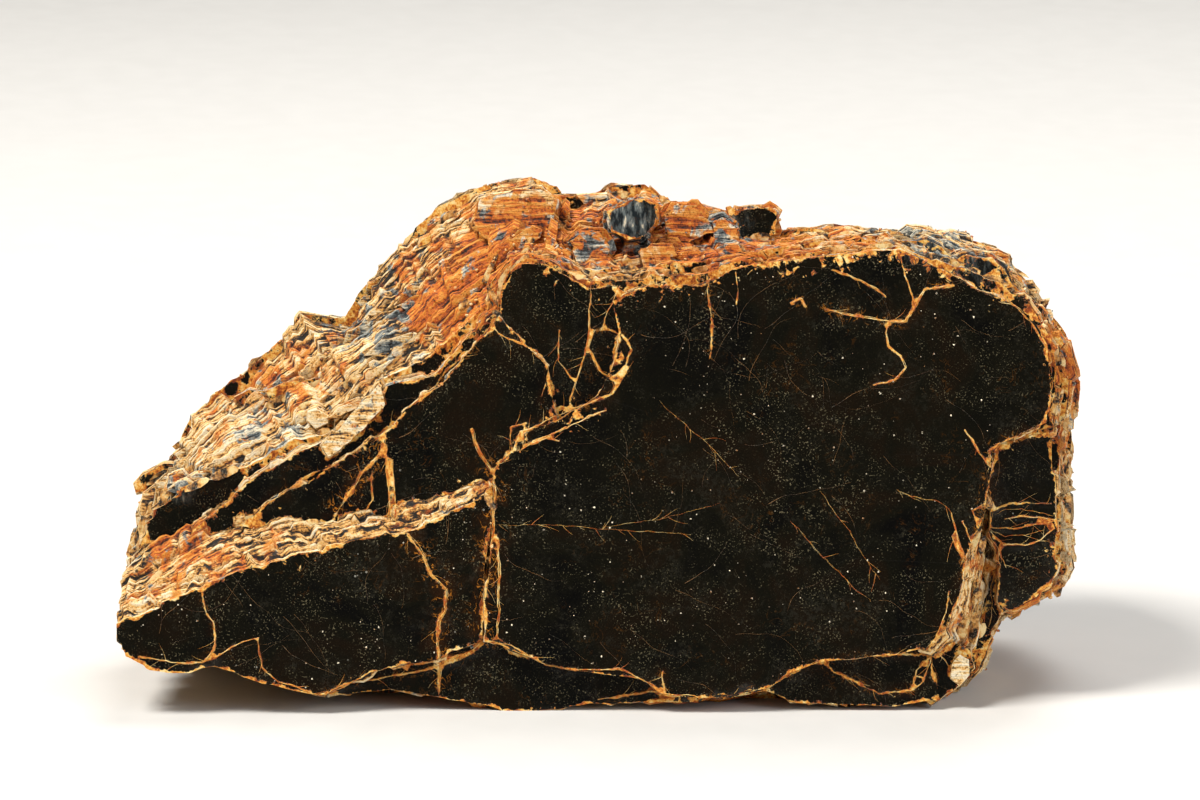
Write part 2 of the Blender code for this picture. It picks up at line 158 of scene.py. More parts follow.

# Where a colour shows on the broken edges, or where light or shade is painted on them: soft round
# spots (u, v, reach, strength), in mm.
COLOUR_SPOTS = {
    "rust": [(-7.0, 34.0, 4.5, 1.0), (-11.5, 31.5, 4.0, 0.8), (-3.5, 36.0, 3.0, 0.8),
             (2.0, 37.5, 3.5, 0.7), (6.5, 36.5, 3.0, 0.8), (13.0, 35.5, 3.0, 0.6),
             (19.0, 36.0, 3.0, 0.6), (-26.0, 25.0, 3.5, 0.6), (-31.0, 12.5, 3.0, 0.4),
             (-27.0, 12.5, 3.0, 0.3), (-34.5, 8.5, 2.0, 0.3), (35.5, 26.0, 2.5, 1.0),
             (35.0, 20.0, 2.0, 0.6), (33.0, 8.5, 2.5, 0.7), (20.0, 2.5, 5.0, 0.7),
             (8.0, 1.0, 5.0, 0.8), (-13.0, 1.5, 6.0, 0.5), (34.0, 29.0, 2.5, 0.4),
             (31.0, 33.5, 2.0, 0.4), (27.6, 11.0, 0.8, 0.6), (9.0, 35.0, 4.0, 0.6)],
    "cool_and_shade": [(-19.0, 29.0, 2.6, 0.5), (-15.0, 28.0, 2.2, 0.4), (2.4, 37.4, 2.2, 1.0),
             (-25.0, 22.0, 3.0, 0.5), (9.5, 36.5, 2.0, 0.7), (12.0, 37.5, 1.5, 0.3),
             (-31.5, 16.5, 2.0, 0.5), (29.0, 33.5, 2.5, 0.5), (-1.0, 35.0, 1.5, 0.6),
             # The next spot is painted shade: it greys the top edge where the key light falls
             # strongly.
             (24.5, 35.8, 3.0, 0.7)],
    "pale": [(-20.0, 22.5, 6.0, 0.9), (-27.0, 19.5, 5.0, 0.9), (-8.0, 38.5, 4.0, 0.9),
             (-11.5, 27.0, 3.0, 0.6), (19.0, 36.5, 4.5, 0.6), (25.0, 35.5, 2.5, 0.4),
             # The pale spots at (28.6, 9.0) and (28.5, 4.0) are painted light: they brighten the
             # right band's wall as light from the front right would.
             (-32.0, 9.0, 3.0, 0.8), (28.6, 9.0, 2.2, 1.0), (28.5, 4.0, 2.5, 1.0),
             (35.5, 13.0, 2.5, 0.9), (0.0, 36.0, 1.5, 0.5), (-31.0, 20.0, 3.0, 0.6)],
    "crust": [(-7.0, 32.5, 1.5, 0.6), (-3.0, 33.5, 1.5, 0.7), (2.0, 31.5, 1.5, 0.9),
              (5.5, 32.5, 1.8, 1.0), (9.0, 33.8, 1.6, 1.0), (13.5, 34.0, 2.4, 1.0),
              (18.0, 34.3, 2.2, 1.0), (23.0, 34.2, 2.2, 0.9), (26.5, 33.3, 1.6, 1.0),
              (30.0, 31.5, 1.4, 0.7), (28.0, 5.5, 1.5, 0.8), (-22.0, 12.0, 2.0, 0.6),
              (-27.0, 9.8, 2.0, 0.5), (-26.5, 13.5, 1.6, 1.0), (-2.0, 22.5, 2.0, 0.8),
              (-5.8, 20.6, 0.9, 1.0), (1.6, 26.0, 1.3, 0.8), (34.3, 12.5, 1.5, 0.6)],
}

FRONT_HALF = [
    (-29.8, 5.3, -5.0, -0.5), (-33.2, 7.6, -3.3, 0.4), (-34.8, 11.4, -1.9, 0.5),
    (-33.9, 15.2, -1.0, 0.6), (-31.4, 16.8, -3.5, 0.7), (-29.0, 17.6, -4.1, 2.0),
    (-27.1, 18.5, -4.6, 3.8), (-22.6, 20.7, -3.5, 6.5), (-19.9, 21.4, -4.3, 7.3),
    (-18.3, 22.6, -4.8, 7.8), (-16.6, 25.2, -3.0, 4.7), (-14.7, 26.0, -3.8, 5.7),
    (-13.2, 26.4, -3.4, 7.9), (-9.4, 30.2, -2.9, 8.5), (-8.2, 31.1, -1.7, 8.8),
    (-8.0, 32.7, 0.8, 7.8), (-7.0, 34.0, 2.1, 6.8), (-4.0, 34.9, 0.9, 5.3),
    (-2.1, 34.0, -0.2, 5.0), (-0.4, 33.2, -0.2, 6.2), (1.7, 33.4, -0.6, 6.9),
    (5.5, 34.0, -1.8, 6.4), (7.8, 34.0, -2.8, 5.4), (12.7, 34.9, -4.1, 3.2),
    (15.6, 35.2, -1.2, 1.6), (19.9, 35.8, -0.3, 1.4), (24.9, 35.6, -0.1, 1.0),
    (26.9, 34.6, -0.2, 2.3),
    (30.8, 33.1, 0.3, 2.4), (33.1, 31.1, 0.5, 1.4), (35.1, 28.0, 1.3, 0.7),
    (35.6, 25.4, 1.8, 0.0), (35.2, 22.0, 1.6, 0.0), (35.4, 11.4, 1.5, -0.3),
    (34.6, 9.2, 1.4, -0.3), (30.5, 7.3, 0.8, -0.7), (28.7, 3.2, 1.0, -0.1),
    (27.3, 1.5, 0.8, 0.2), (25.2, 0.5, 0.6, 0.7), (6.3, 0.8, 0.9, 0.6),
    (-6.6, 0.3, 0.6, 1.4), (-11.9, 0.8, 0.5, 1.3), (-21.8, 2.0, -0.6, 0.8),
    (-25.6, 2.9, -2.2, 0.7),
]
MAIN_PLATE = [
    (-7.9, 18.3), (-6.4, 19.8), (-5.8, 21.3), (-3.2, 22.0), (0.1, 23.9), (1.7, 27.7),
    (1.1, 31.0), (4.0, 32.2), (7.7, 32.2), (10.7, 33.6), (18.2, 34.5), (22.7, 34.8),
    (25.7, 33.5), (29.1, 31.6), (30.4, 31.3), (32.5, 29.9), (33.8, 27.7), (34.1, 24.7),
    (33.7, 21.8), (30.0, 20.2), (29.5, 17.9), (29.0, 14.9), (27.8, 11.9), (27.0, 8.5),
    (26.2, 6.3), (24.6, 4.8), (22.7, 4.4), (16.7, 3.9), (14.5, 3.1), (12.6, 1.8),
    (9.2, 1.1), (5.1, 1.4), (3.2, 2.5), (-1.7, 3.3), (-3.9, 3.8), (-6.2, 4.8),
    (-8.4, 5.5), (-8.5, 8.5), (-8.1, 11.5), (-7.9, 14.5),
]
RIGHT_BAND = [
    (29.3, 18.3, 0.9, -0.3), (28.9, 14.9, 1.6, -0.3), (27.7, 11.9, 2.8, -0.5),
    (26.8, 8.5, 3.3, -0.7), (26.1, 6.3, 3.2, -1.0), (24.7, 4.9, 2.6, -1.6),
    (22.7, 5.5, 0.5, -0.6), (22.7, 11.5, 0.0, 0.0), (26.5, 18.3, 0.0, 0.0),
]
LEFT_SLAB = [
    (-35.9, 5.5, 0.4, 3.2), (-36.0, 6.8, 0.4, 5.2), (-33.5, 8.0, 0.1, 6.4),
    (-29.8, 9.4, -0.9, 7.1), (-26.8, 10.7, -1.9, 7.1), (-22.3, 12.1, -3.0, 6.8),
    (-19.3, 12.7, -3.4, 6.4), (-14.8, 13.6, -3.4, 6.4), (-12.5, 14.5, -3.4, 6.4),
    (-8.8, 16.0, -3.4, 6.0), (-7.9, 17.2, -2.2, 3.0), (-7.9, 14.5, 0.8, 0.0),
    (-8.5, 8.5, 0.8, 0.0), (-8.4, 5.5, 0.8, -0.4), (-11.8, 4.3, 0.0, -0.6),
    (-16.3, 3.3, 0.0, -0.4), (-20.4, 1.4, 0.4, 1.3), (-25.1, 2.3, 0.8, 1.6),
    (-28.7, 3.7, 1.1, 1.9), (-30.5, 3.2, 0.9, 2.4), (-33.5, 3.2, 0.8, 2.8),
    (-35.5, 4.2, 0.6, 3.0),
]
LOWER_SHEETS = [
    (-20.0, 4.0), (-11.8, 7.0), (12.2, 7.0), (21.2, 7.8), (25.0, 5.5), (25.7, 1.0),
    (23.1, 0.5), (15.2, 0.8), (12.6, 1.6), (9.2, 1.0), (1.7, 0.8), (-6.4, 0.1),
    (-12.5, 1.2), (-15.5, 1.8), (-20.2, 1.4),
]
LONG_FACET = [
    (-27.2, 14.1), (-24.5, 16.0), (-19.3, 18.9), (-15.9, 21.4), (-13.9, 23.2), (-11.8, 24.7),
    (-8.4, 28.4), (-7.4, 29.8), (-3.7, 26.1), (-2.8, 21.3), (-4.3, 16.0), (-11.8, 13.0),
    (-20.0, 11.5),
]
OUTER_FACET = [
    (-28.7, 8.5), (-30.2, 11.5), (-30.5, 13.8), (-27.7, 16.0), (-26.6, 17.2), (-22.3, 19.9),
    (-17.6, 21.7), (-16.3, 23.2), (-15.8, 24.6), (-12.5, 25.5), (-10.1, 27.9), (-7.6, 30.3),
    (-3.0, 27.0), (-3.0, 12.0), (-20.0, 8.0),
]
UPPER_FACET = [
    (-7.4, 30.1), (-7.3, 31.8), (-6.6, 32.9), (-5.6, 33.8), (-3.9, 33.8), (-0.5, 32.0),
    (1.3, 32.2), (3.2, 31.0), (3.2, 23.5), (-2.0, 20.5), (-3.9, 23.5), (-5.8, 27.7),
]
UPPER_RIM = [
    (-7.6, 30.3), (-7.4, 31.9), (-6.7, 33.1), (-5.6, 34.0), (-3.9, 34.0), (-0.5, 32.4),
    (1.7, 32.7), (7.7, 33.2), (10.3, 33.9), (16.7, 34.7), (22.7, 35.2), (26.5, 33.9),
    (30.4, 32.5), (32.5, 30.6), (34.4, 27.7), (34.7, 25.4), (34.2, 21.3), (28.0, 19.0),
    (0.0, 20.0),
]
RIGHT_PLATEAU = [
    (29.4, 19.8), (34.0, 21.4), (34.4, 20.5), (34.7, 13.0), (34.8, 10.6), (34.2, 9.5),
    (32.8, 8.5), (30.4, 7.3), (29.9, 8.6), (30.2, 12.4), (29.4, 13.6),
]
CORNER_LENS = [
    (23.6, 1.3), (23.8, 3.1), (25.1, 4.8), (26.8, 5.5), (28.1, 4.8), (28.3, 3.4), (26.8, 1.8),
    (25.1, 0.7),
]
TOP_RIGHT_FACET = [
    (26.3, 34.0), (27.7, 34.6), (29.8, 34.3), (30.7, 33.4), (31.5, 32.1), (29.8, 31.6),
    (27.7, 32.2),
]
SUMMIT_BLOCK = [
    (-9.6, 37.2), (-9.0, 38.9), (-6.7, 39.4), (-4.4, 39.6), (-3.2, 38.8), (-3.5, 37.0),
    (-5.9, 35.8), (-8.6, 35.9),
]
BLUE_BLOCK = [
    (0.7, 37.9), (1.9, 38.6), (3.6, 38.8), (4.5, 38.4), (4.4, 37.1), (3.6, 36.1), (2.3, 35.8),
    (1.1, 36.4),
]
BROWN_BLOCK = [
    (5.2, 37.7), (5.8, 38.6), (7.6, 38.6), (8.3, 37.6), (8.8, 36.4), (7.1, 35.4), (5.4, 35.7),
]
SKYLINE_PLATE = [
    (9.8, 37.3), (10.0, 38.2), (13.2, 38.4), (13.8, 38.0), (13.8, 36.2), (12.1, 35.4),
    (10.4, 35.6),
]
SHOULDER_BLOCK = [(8.6, 37.2), (9.5, 37.5), (10.6, 36.7), (10.9, 34.8), (8.8, 34.6)]
VALLEY_BLOCK = [(-2.1, 35.7), (-1.2, 36.4), (0.2, 36.3), (1.1, 35.0), (0.2, 33.4), (-1.2, 33.4)]
PALE_WEDGE = [
    (-20.8, 20.1), (-18.6, 22.6), (-16.4, 24.9), (-15.9, 22.9), (-18.6, 20.4), (-20.3, 19.3),
]
PALE_SCALE = [(26.6, 2.6), (26.7, 4.0), (27.3, 4.5), (27.9, 4.0), (27.9, 2.9), (27.2, 2.0)]
RIDGE_BLOCK = [(3.2, 34.8), (4.1, 35.6), (5.8, 35.5), (6.3, 34.5), (4.9, 33.2), (3.5, 33.2)]

# The stained cracks of the front: half width in mm, and the line (u, v) that it follows.
FRONT_CRACKS = [
    (0.16, [(-26.9, 14.2), (-24.5, 16.0), (-22.3, 17.5), (-19.3, 18.9), (-15.9, 21.4),
            (-12.9, 23.9), (-11.3, 25.9), (-8.4, 28.4), (-7.9, 29.2)]),
    (0.24, [(-15.9, 21.4), (-16.4, 19.4), (-17.8, 17.9), (-18.9, 16.4), (-20.2, 13.8)]),
    (0.12, [(-17.0, 17.5), (-16.9, 16.0), (-17.6, 14.9)]),
    (0.10, [(-15.9, 19.8), (-15.7, 16.8), (-15.7, 14.5)]),
    (0.08, [(-15.4, 19.0), (-15.2, 16.8), (-15.2, 14.5)]),
    (0.16, [(-20.0, 13.8), (-17.4, 14.4), (-14.8, 15.1), (-11.8, 15.9), (-8.8, 16.7),
            (-7.9, 17.5)]),
    (0.26, [(-7.9, 18.3), (-7.7, 16.0), (-7.9, 13.8), (-8.5, 9.3), (-8.6, 5.5)]),
    (0.12, [(-7.5, 13.0), (-7.4, 10.8), (-7.4, 8.5), (-7.5, 5.7)]),
    (0.14, [(-9.5, 21.3), (-8.8, 19.4), (-7.9, 18.1), (-6.7, 19.2), (-5.8, 20.9)]),
    (0.11, [(-8.6, 5.5), (-6.5, 5.1), (-3.9, 3.7), (-1.7, 3.3), (1.7, 3.4), (3.6, 2.5),
            (5.1, 1.2)]),
    (0.14, [(-8.6, 5.5), (-9.4, 4.8), (-10.3, 4.4), (-12.2, 4.0)]),
    (0.24, [(-14.6, 14.2), (-13.3, 12.3), (-12.5, 10.4), (-11.4, 9.3), (-11.4, 7.9),
            (-12.0, 7.0), (-11.9, 4.0), (-12.0, 1.0)]),
    (0.14, [(-29.6, 9.1), (-29.3, 7.6), (-28.7, 6.9), (-28.7, 4.8), (-29.4, 4.0),
            (-32.0, 3.9), (-34.3, 4.4)]),
    (0.10, [(-28.7, 4.2), (-26.8, 5.4), (-25.4, 5.7)]),
    (0.10, [(-25.4, 5.5), (-25.1, 3.6), (-23.8, 2.5), (-20.4, 1.2)]),
    (0.16, [(-20.4, 1.6), (-18.9, 2.2), (-14.0, 3.1), (-10.3, 4.0), (-8.6, 5.2)]),
    (0.15, [(0.2, 1.0), (4.0, 1.6), (7.7, 1.2), (12.6, 1.9), (15.6, 3.6), (19.7, 4.3),
            (24.2, 4.4), (25.9, 5.9), (26.5, 6.7)]),
    (0.16, [(16.7, 3.9), (17.8, 3.1), (20.1, 2.0), (21.2, 1.6), (23.8, 1.8)]),
    (0.20, [(29.4, 19.8), (29.7, 18.3), (29.3, 16.8), (29.1, 14.8), (28.5, 12.6), (27.7, 11.4),
            (27.6, 9.4), (27.0, 7.2), (26.7, 5.6)]),
    (0.16, [(29.5, 16.6), (29.3, 14.0), (28.8, 11.9), (28.3, 9.4), (28.1, 7.0), (27.9, 4.8)]),
    (0.12, [(29.3, 13.6), (29.1, 11.4), (28.8, 8.8), (28.7, 6.2), (28.4, 4.6)]),
    (0.14, [(30.3, 12.5), (30.0, 10.7), (29.7, 8.8), (29.9, 7.2), (29.2, 5.6)]),
    (0.10, [(29.7, 13.2), (29.5, 11.2), (29.3, 8.8), (29.2, 6.4), (28.9, 4.2)]),
    (0.18, [(29.8, 20.0), (31.0, 20.5), (33.2, 21.4), (34.3, 21.7)]),
    (0.10, [(27.6, 21.3), (28.7, 19.6), (29.5, 18.6)]),
    (0.04, [(22.5, 16.9), (23.6, 16.3), (25.6, 16.0), (26.6, 15.1)]),
    (0.08, [(26.6, 15.1), (27.0, 13.4), (27.6, 11.6)]),
    (0.07, [(26.6, 13.3), (27.0, 12.4), (27.6, 11.4)]),
    (0.07, [(27.4, 14.4), (27.8, 13.2), (28.1, 12.2)]),
    (0.07, [(28.2, 15.3), (28.5, 14.2), (28.8, 13.4)]),
    (0.10, [(26.3, 9.2), (26.2, 7.6), (25.6, 6.1), (24.9, 5.2)]),
    (0.12, [(23.7, 2.2), (24.0, 3.2), (24.6, 3.9), (25.1, 4.3), (24.9, 3.2), (24.5, 2.4),
            (24.0, 2.0), (23.7, 2.2)]),
    (0.07, [(25.7, 4.4), (26.3, 3.8), (26.6, 3.4)]),
    (0.10, [(24.9, 4.4), (25.9, 5.1), (26.6, 5.6)]),
    (0.16, [(14.5, 30.7), (14.8, 30.9), (15.2, 31.0), (15.6, 30.4)]),
    (0.18, [(17.1, 30.3), (19.0, 29.9), (22.0, 29.4), (23.1, 29.5), (23.8, 30.7),
            (24.6, 31.8), (26.8, 32.2)]),
    (0.10, [(22.0, 29.4), (21.7, 28.6), (21.8, 27.7)]),
    (0.14, [(22.7, 26.9), (23.1, 25.9), (22.3, 25.0), (20.8, 24.7)]),
    (0.08, [(22.3, 35.5), (22.7, 34.0), (23.6, 31.0)]),
    (0.10, [(17.5, 33.3), (19.7, 32.5), (21.6, 31.4)]),
    (0.16, [(8.1, 33.5), (8.5, 31.0), (8.6, 28.8), (8.4, 26.7)]),
    (0.10, [(10.3, 33.5), (10.6, 31.8), (10.4, 30.7)]),
    (0.10, [(-0.5, 32.3), (-0.6, 28.8), (-1.4, 25.4), (-2.0, 23.5)]),
    (0.08, [(1.7, 32.2), (0.8, 30.3), (0.2, 28.8)]),
    (0.14, [(-0.2, 28.8), (-0.8, 27.4), (0.2, 25.8), (1.0, 25.2), (2.1, 26.2), (2.6, 27.3),
            (1.9, 28.4), (0.6, 28.9), (-0.2, 28.8)]),
    (0.12, [(-8.4, 29.5), (-7.3, 28.4), (-5.0, 27.3), (-3.8, 26.2), (-3.9, 24.7),
            (-4.3, 23.5)]),
    (0.10, [(-2.8, 28.8), (-2.9, 26.5), (-1.9, 25.2)]),
    (0.12, [(-6.5, 20.2), (-6.5, 21.5), (-5.4, 21.8), (-5.5, 20.2)]),
    (0.16, [(-5.4, 21.1), (-3.2, 22.4), (-0.9, 23.2), (1.1, 24.1), (2.3, 26.1)]),
    (0.10, [(-4.7, 20.5), (-2.0, 21.7), (0.6, 22.8)]),
    (0.10, [(-5.8, 19.8), (-3.9, 20.7), (-2.8, 20.5)]),
    (0.03, [(-7.7, 14.2), (-3.5, 14.2), (0.2, 13.9), (7.0, 13.5)]),
    (0.03, [(0.2, 13.9), (6.2, 14.9), (9.2, 15.8)]),
    (0.03, [(4.7, 23.5), (7.0, 21.3), (10.7, 17.9)]),
    (0.03, [(14.5, 14.5), (17.8, 10.8), (20.5, 8.5)]),
    (0.03, [(16.7, 16.8), (19.7, 12.3), (21.2, 10.0)]),
    (0.16, [(4.9, 3.1), (5.0, 2.2), (5.2, 1.0)]),
    (0.10, [(-29.4, 11.5), (-26.4, 13.0), (-23.4, 13.9)]),
    (0.12, [(29.5, 15.1), (31.0, 15.7), (32.4, 15.9), (34.4, 15.7)]),
    (0.05, [(29.9, 14.9), (30.8, 15.3), (31.9, 15.4), (34.2, 14.8)]),
    (0.10, [(30.7, 14.6), (31.8, 14.9), (33.0, 14.7), (34.3, 14.6)]),
    (0.07, [(29.5, 14.0), (31.7, 13.9), (33.2, 14.2), (34.4, 14.5)]),
    (0.05, [(29.6, 13.8), (30.8, 13.3), (32.2, 13.4), (33.6, 13.8)]),
    (0.12, [(29.6, 13.7), (30.6, 12.6), (32.2, 12.6), (33.4, 13.1), (34.4, 14.0)]),
    (0.08, [(30.2, 12.5), (30.5, 11.6), (30.8, 10.9)]),
    (0.12, [(32.5, 29.5), (34.1, 26.5), (34.2, 24.7), (33.7, 21.8)]),
    (0.10, [(30.2, 31.0), (31.5, 30.4), (32.5, 29.5)]),
]
# And of the reverse, which the same kind of cracks cross.
BACK_CRACKS = [
    (0.20, [(-20.0, 14.0), (-12.0, 16.5), (-5.0, 15.0), (3.0, 17.5), (9.0, 16.0)]),
    (0.14, [(3.0, 17.5), (5.0, 24.0), (3.5, 30.0), (6.0, 35.0)]),
    (0.12, [(9.0, 16.0), (17.0, 18.0), (23.0, 24.0), (31.0, 26.0)]),
    (0.16, [(17.0, 18.0), (20.0, 12.0), (18.0, 6.0)]),
    (0.10, [(-5.0, 15.0), (-7.0, 9.0), (-3.0, 5.0)]),
    (0.10, [(-12.0, 16.5), (-9.0, 23.0), (-10.0, 30.0)]),
]
# Loose plates and scales there: name, size next to the middle's, shift, how much wider they are
# at their near face, their two faces' depths from the far side, and the outer one's slope.
LOOSE_PLATES = [
    ("reverse_plate", 0.78, (2.0, 1.4), 0.5, -1.0, 0.9, 0.01),
    ("reverse_flake", 0.46, (9.0, 4.0), 0.3, 0.0, 1.7, 0.01),
    ("low_scale", 0.30, (-13.0, -5.0), 0.4, 0.0, 1.0, 0.02),
    ("side_scale", 0.22, (22.0, -4.0), 0.3, 0.0, 0.6, 0.01),
]


def book_to_world(points):
    """Points (u, v, w) in millimetres, as an array of world points in metres."""
    u, v, w = np.asarray(points, float).T
    y = w * math.cos(LEAN) + v * math.sin(LEAN)
    z = v * math.cos(LEAN) - w * math.sin(LEAN)
    return (np.stack([u, y, z], axis=1) - ORIGIN) * MM


def world_to_book(points):
    """The way back from world points in metres to (u, v, w) in millimetres."""
    x, y, z = (np.asarray(points, float) / MM + ORIGIN).T
    v = y * math.sin(LEAN) + z * math.cos(LEAN)
    w = y * math.cos(LEAN) - z * math.sin(LEAN)
    return np.stack([x, v, w], axis=1)


def wave(u, v, w, length, seed=0.0):
    """Smooth noise from -1 to 1, whose swells are about as long as stated."""
    return noise.noise(Vector((u / length + seed, v / length - seed, w / length + 0.37 * seed)))


def linked(name, data):
    """A new object in the scene."""
    made = bpy.data.objects.new(name, data)
    bpy.context.collection.objects.link(made)
    return made


def read(items, name, size=1):
    """What a mesh's vertices or faces say: an array of numbers, or of rows of a stated size."""
    flat = np.zeros(len(items) * size)
    items.foreach_get(name, flat)
    return flat.reshape(-1, size) if size > 1 else flat


def face_kinds(mesh):
    """For each face, how far it is a glassy cleavage face."""
    return read(mesh.attributes["cleavage"].data, "value")


# Outlines

def outward(points, index, reach=1):
    """The direction out of a clockwise outline at one of its points."""
    before = points[(index - reach) % len(points)]
    after = points[(index + reach) % len(points)]
    along = Vector((after[0] - before[0], after[1] - before[1])).normalized()
    return Vector((-along.y, along.x))


def spread(points, amount):
    """An outline of (u, v) corners that grows by the same amount all round at its far face."""
    corners = []
    for index, (u, v) in enumerate(points):
        out = outward(points, index)
        corners.append((u, v, amount * out.x, amount * out.y))
    return corners


def far_outline(outline, scale=1.0, shift=(0.0, 0.0)):
    """The (u, v) corners of an outline's far face, drawn in towards their middle."""
    far = [(u + du, v + dv) for u, v, du, dv in outline]
    middle_u = sum(u for u, v in far) / len(far)
    middle_v = sum(v for u, v in far) / len(far)
    corners = []
    for u, v in far:
        new_u = middle_u + scale * (u - middle_u) + shift[0]
        new_v = middle_v + scale * (v - middle_v) + shift[1]
        corners.append((new_u, new_v))
    return corners


def between(near_corners, far_corners):
    """An outline that runs from one list of (u, v) corners to another of the same length."""
    pairs = zip(near_corners, far_corners)
    return [(u, v, far_u - u, far_v - v) for (u, v), (far_u, far_v) in pairs]


def finely_spaced(outline, step, foot_step):
    """The outline with points added along its sides, further apart under the foot."""
    points = []
    for index, start in enumerate(outline):
        end = outline[(index + 1) % len(outline)]
        length = math.hypot(end[0] - start[0], end[1] - start[1])
        under_foot = start[1] < FOOT and end[1] < FOOT
        steps = max(1, round(length / (foot_step if under_foot else step)))
        for count in range(steps):
            share = count / steps
            points.append(tuple(a + share * (b - a) for a, b in zip(start, end)))
    return points


def on_outline(outline, draws):
    """A random place (u, v, du, dv) on an outline, and the directions along and out of it."""
    index = draws.randrange(len(outline))
    share = draws.random()
    following = outline[(index + 1) % len(outline)]
    place = [a + share * (b - a) for a, b in zip(outline[index], following)]
    out = outward(outline, index)
    return place, Vector((out.y, -out.x)), out


def plane_depth(plane, u, v):
    """How deep a face (w, slope_u, slope_v) lies at one place."""
    return plane[0] + plane[1] * u + plane[2] * v


# Cracks

def walked(line):
    """Points along a crack, evenly spaced and a little ragged. Cracks that meet stay together."""
    points = []
    for start, end in zip(line, line[1:]):
        length = math.hypot(end[0] - start[0], end[1] - start[1])
        steps = max(1, round(length / VEIN_STEP))
        for count in range(steps):
            share = count / steps
            points.append(tuple(a + share * (b - a) for a, b in zip(start, end)))
    points.append(line[-1])
    ragged = []
    for u, v in points:
        sideways = wave(u, v, 3.0, 1.6) + 0.5 * wave(u, v, 9.0, 0.5)
        upward = wave(u, v, 17.0, 1.6) + 0.5 * wave(u, v, 23.0, 0.5)
        ragged.append((u + VEIN_WANDER * sideways, v + VEIN_WANDER * upward))
    return ragged


def distance_to_lines(points, starts, ends):
    """The distance from each point to each line piece, as an array."""
    along = ends - starts
    squared = np.maximum((along ** 2).sum(1), 1e-12)
    offset = points[:, None, :] - starts[None]
    share = np.clip((offset * along[None]).sum(2) / squared[None], 0.0, 1.0)
    nearest = starts[None] + share[..., None] * along[None]
    return np.linalg.norm(points[:, None, :] - nearest, axis=2)


def inside(points, ring):
    """Which points lie inside a closed ring."""
    x, y = points[:, 0][:, None], points[:, 1][:, None]
    x0, y0 = ring[:, 0][None], ring[:, 1][None]
    x1, y1 = np.roll(ring[:, 0], -1)[None], np.roll(ring[:, 1], -1)[None]
    crosses = (y0 > y) != (y1 > y)
    rise = np.where(np.abs(y1 - y0) < 1e-12, 1e-12, y1 - y0)
    left = x < (x1 - x0) * (y - y0) / rise + x0
    return (crosses & left).sum(1) % 2 == 1


class Cracks:
    """A set of stained cracks, and what they do to the face around them."""

    def __init__(self, lines):
        self.lines = [(width, walked(line)) for width, line in lines]
        starts, ends, widths = [], [], []
        for width, line in self.lines:
            if width < STAINED_WIDTH:
                continue
            starts += line[:-1]
            ends += line[1:]
            widths += [width] * (len(line) - 1)
        self.starts, self.ends = np.array(starts), np.array(ends)
        self.widths = np.array(widths)

    def measure(self, points):
        """For each point, its distance to the nearest crack in half widths, and how stained it is."""
        in_widths, stain = [], []
        for chunk in np.array_split(points, max(1, len(points) // 1500)):
            distance = distance_to_lines(chunk, self.starts, self.ends)
            in_widths.append((distance / self.widths[None]).min(1))
            reach = 0.35 + 4.0 * self.widths[None]
            strength = self.widths[None] / FULL_STAIN_WIDTH
            stain.append((strength * np.exp(-distance / reach)).max(1))
        return np.concatenate(in_widths), np.concatenate(stain)

    def points_in(self, ring):
        """The cracks' own points inside a ring, with points at both sides, and the edges to keep."""
        points, edges = [], []
        for width, line in self.lines:
            line_points = np.array(line)
            gap = distance_to_lines(line_points, ring, np.roll(ring, -1, axis=0)).min(1)
            kept = inside(line_points, ring) & (gap > 0.5 * CRACK_CLEAR)
            previous = None
            for index, (u, v) in enumerate(line):
                if not kept[index]:
                    previous = None
                    continue
                points.append((u, v))
                if previous is not None:
                    edges.append((previous, len(points) - 1))
                previous = len(points) - 1
        return points + self.beside(points, edges, ring), edges

    def beside(self, points, edges, ring):
        """Points at both sides of the cracks, clear of every crack and of each other."""
        chosen = []
        for a, b in edges[::2]:
            start, end = np.array(points[a]), np.array(points[b])
            along = (end - start) / np.linalg.norm(end - start)
            for turn in (1.0, -1.0):
                place = 0.5 * (start + end) + turn * CRACK_CLEAR * np.array([-along[1], along[0]])
                crack_gap = distance_to_lines(place[None], self.starts, self.ends).min()
                ring_gap = distance_to_lines(place[None], ring, np.roll(ring, -1, axis=0)).min()
                near = any(math.dist(place, other) < SIDE_GAP for other in chosen)
                if crack_gap > 0.8 * CRACK_CLEAR and ring_gap > 0.5 * FACE_CLEAR and not near:
                    if inside(place[None], ring)[0]:
                        chosen.append(tuple(place))
        return chosen


# Packets of sheets

def packet_number(name):
    """A number from 0 to 10 for each packet, so that no two are broken alike."""
    return (sum(ord(letter) * (place + 1) for place, letter in enumerate(name)) % 97) / 9.7


def sheet_edges(depth, thickness, draws):
    """Where each sheet of a packet begins and ends, as shares of its depth."""
    count = max(2, round(depth / thickness))
    weights = [draws.choice(SHEET_WEIGHTS) for sheet in range(count)]
    total = sum(weights)
    edges = [0.0]
    for weight in weights:
        edges.append(edges[-1] + weight / total)
    edges[-1] = 1.0
    return edges


def broken(u, v, sheet, packet, gap):
    """How far one sheet's edge has broken back, or stands out, at one place."""
    cell_place = Vector((0.36 * u + 0.17 * v + packet, 0.36 * v - 0.17 * u, 0.9 * packet))
    blocky = 2.0 * noise.cell(cell_place) - 1.0
    small_place = Vector((0.9 * u - 0.4 * v - packet, 0.9 * v + 0.4 * u, 1.7 * packet))
    small_blocks = 2.0 * noise.cell(small_place) - 1.0
    edge = PROUD + BLOCKS * blocky + SMALL_BLOCKS * small_blocks
    edge += PACKET_WAVE[0] * wave(u, v, 5.3 * packet, PACKET_WAVE[1])
    for (height, length), change in zip(SHEET_WAVES, (2.9, 4.7)):
        edge += height * wave(u, v, change * sheet, length)
    edge -= gap * max(0.0, 0.45 + 0.9 * wave(u, v, 1.3 * sheet, 3.0))
    return edge


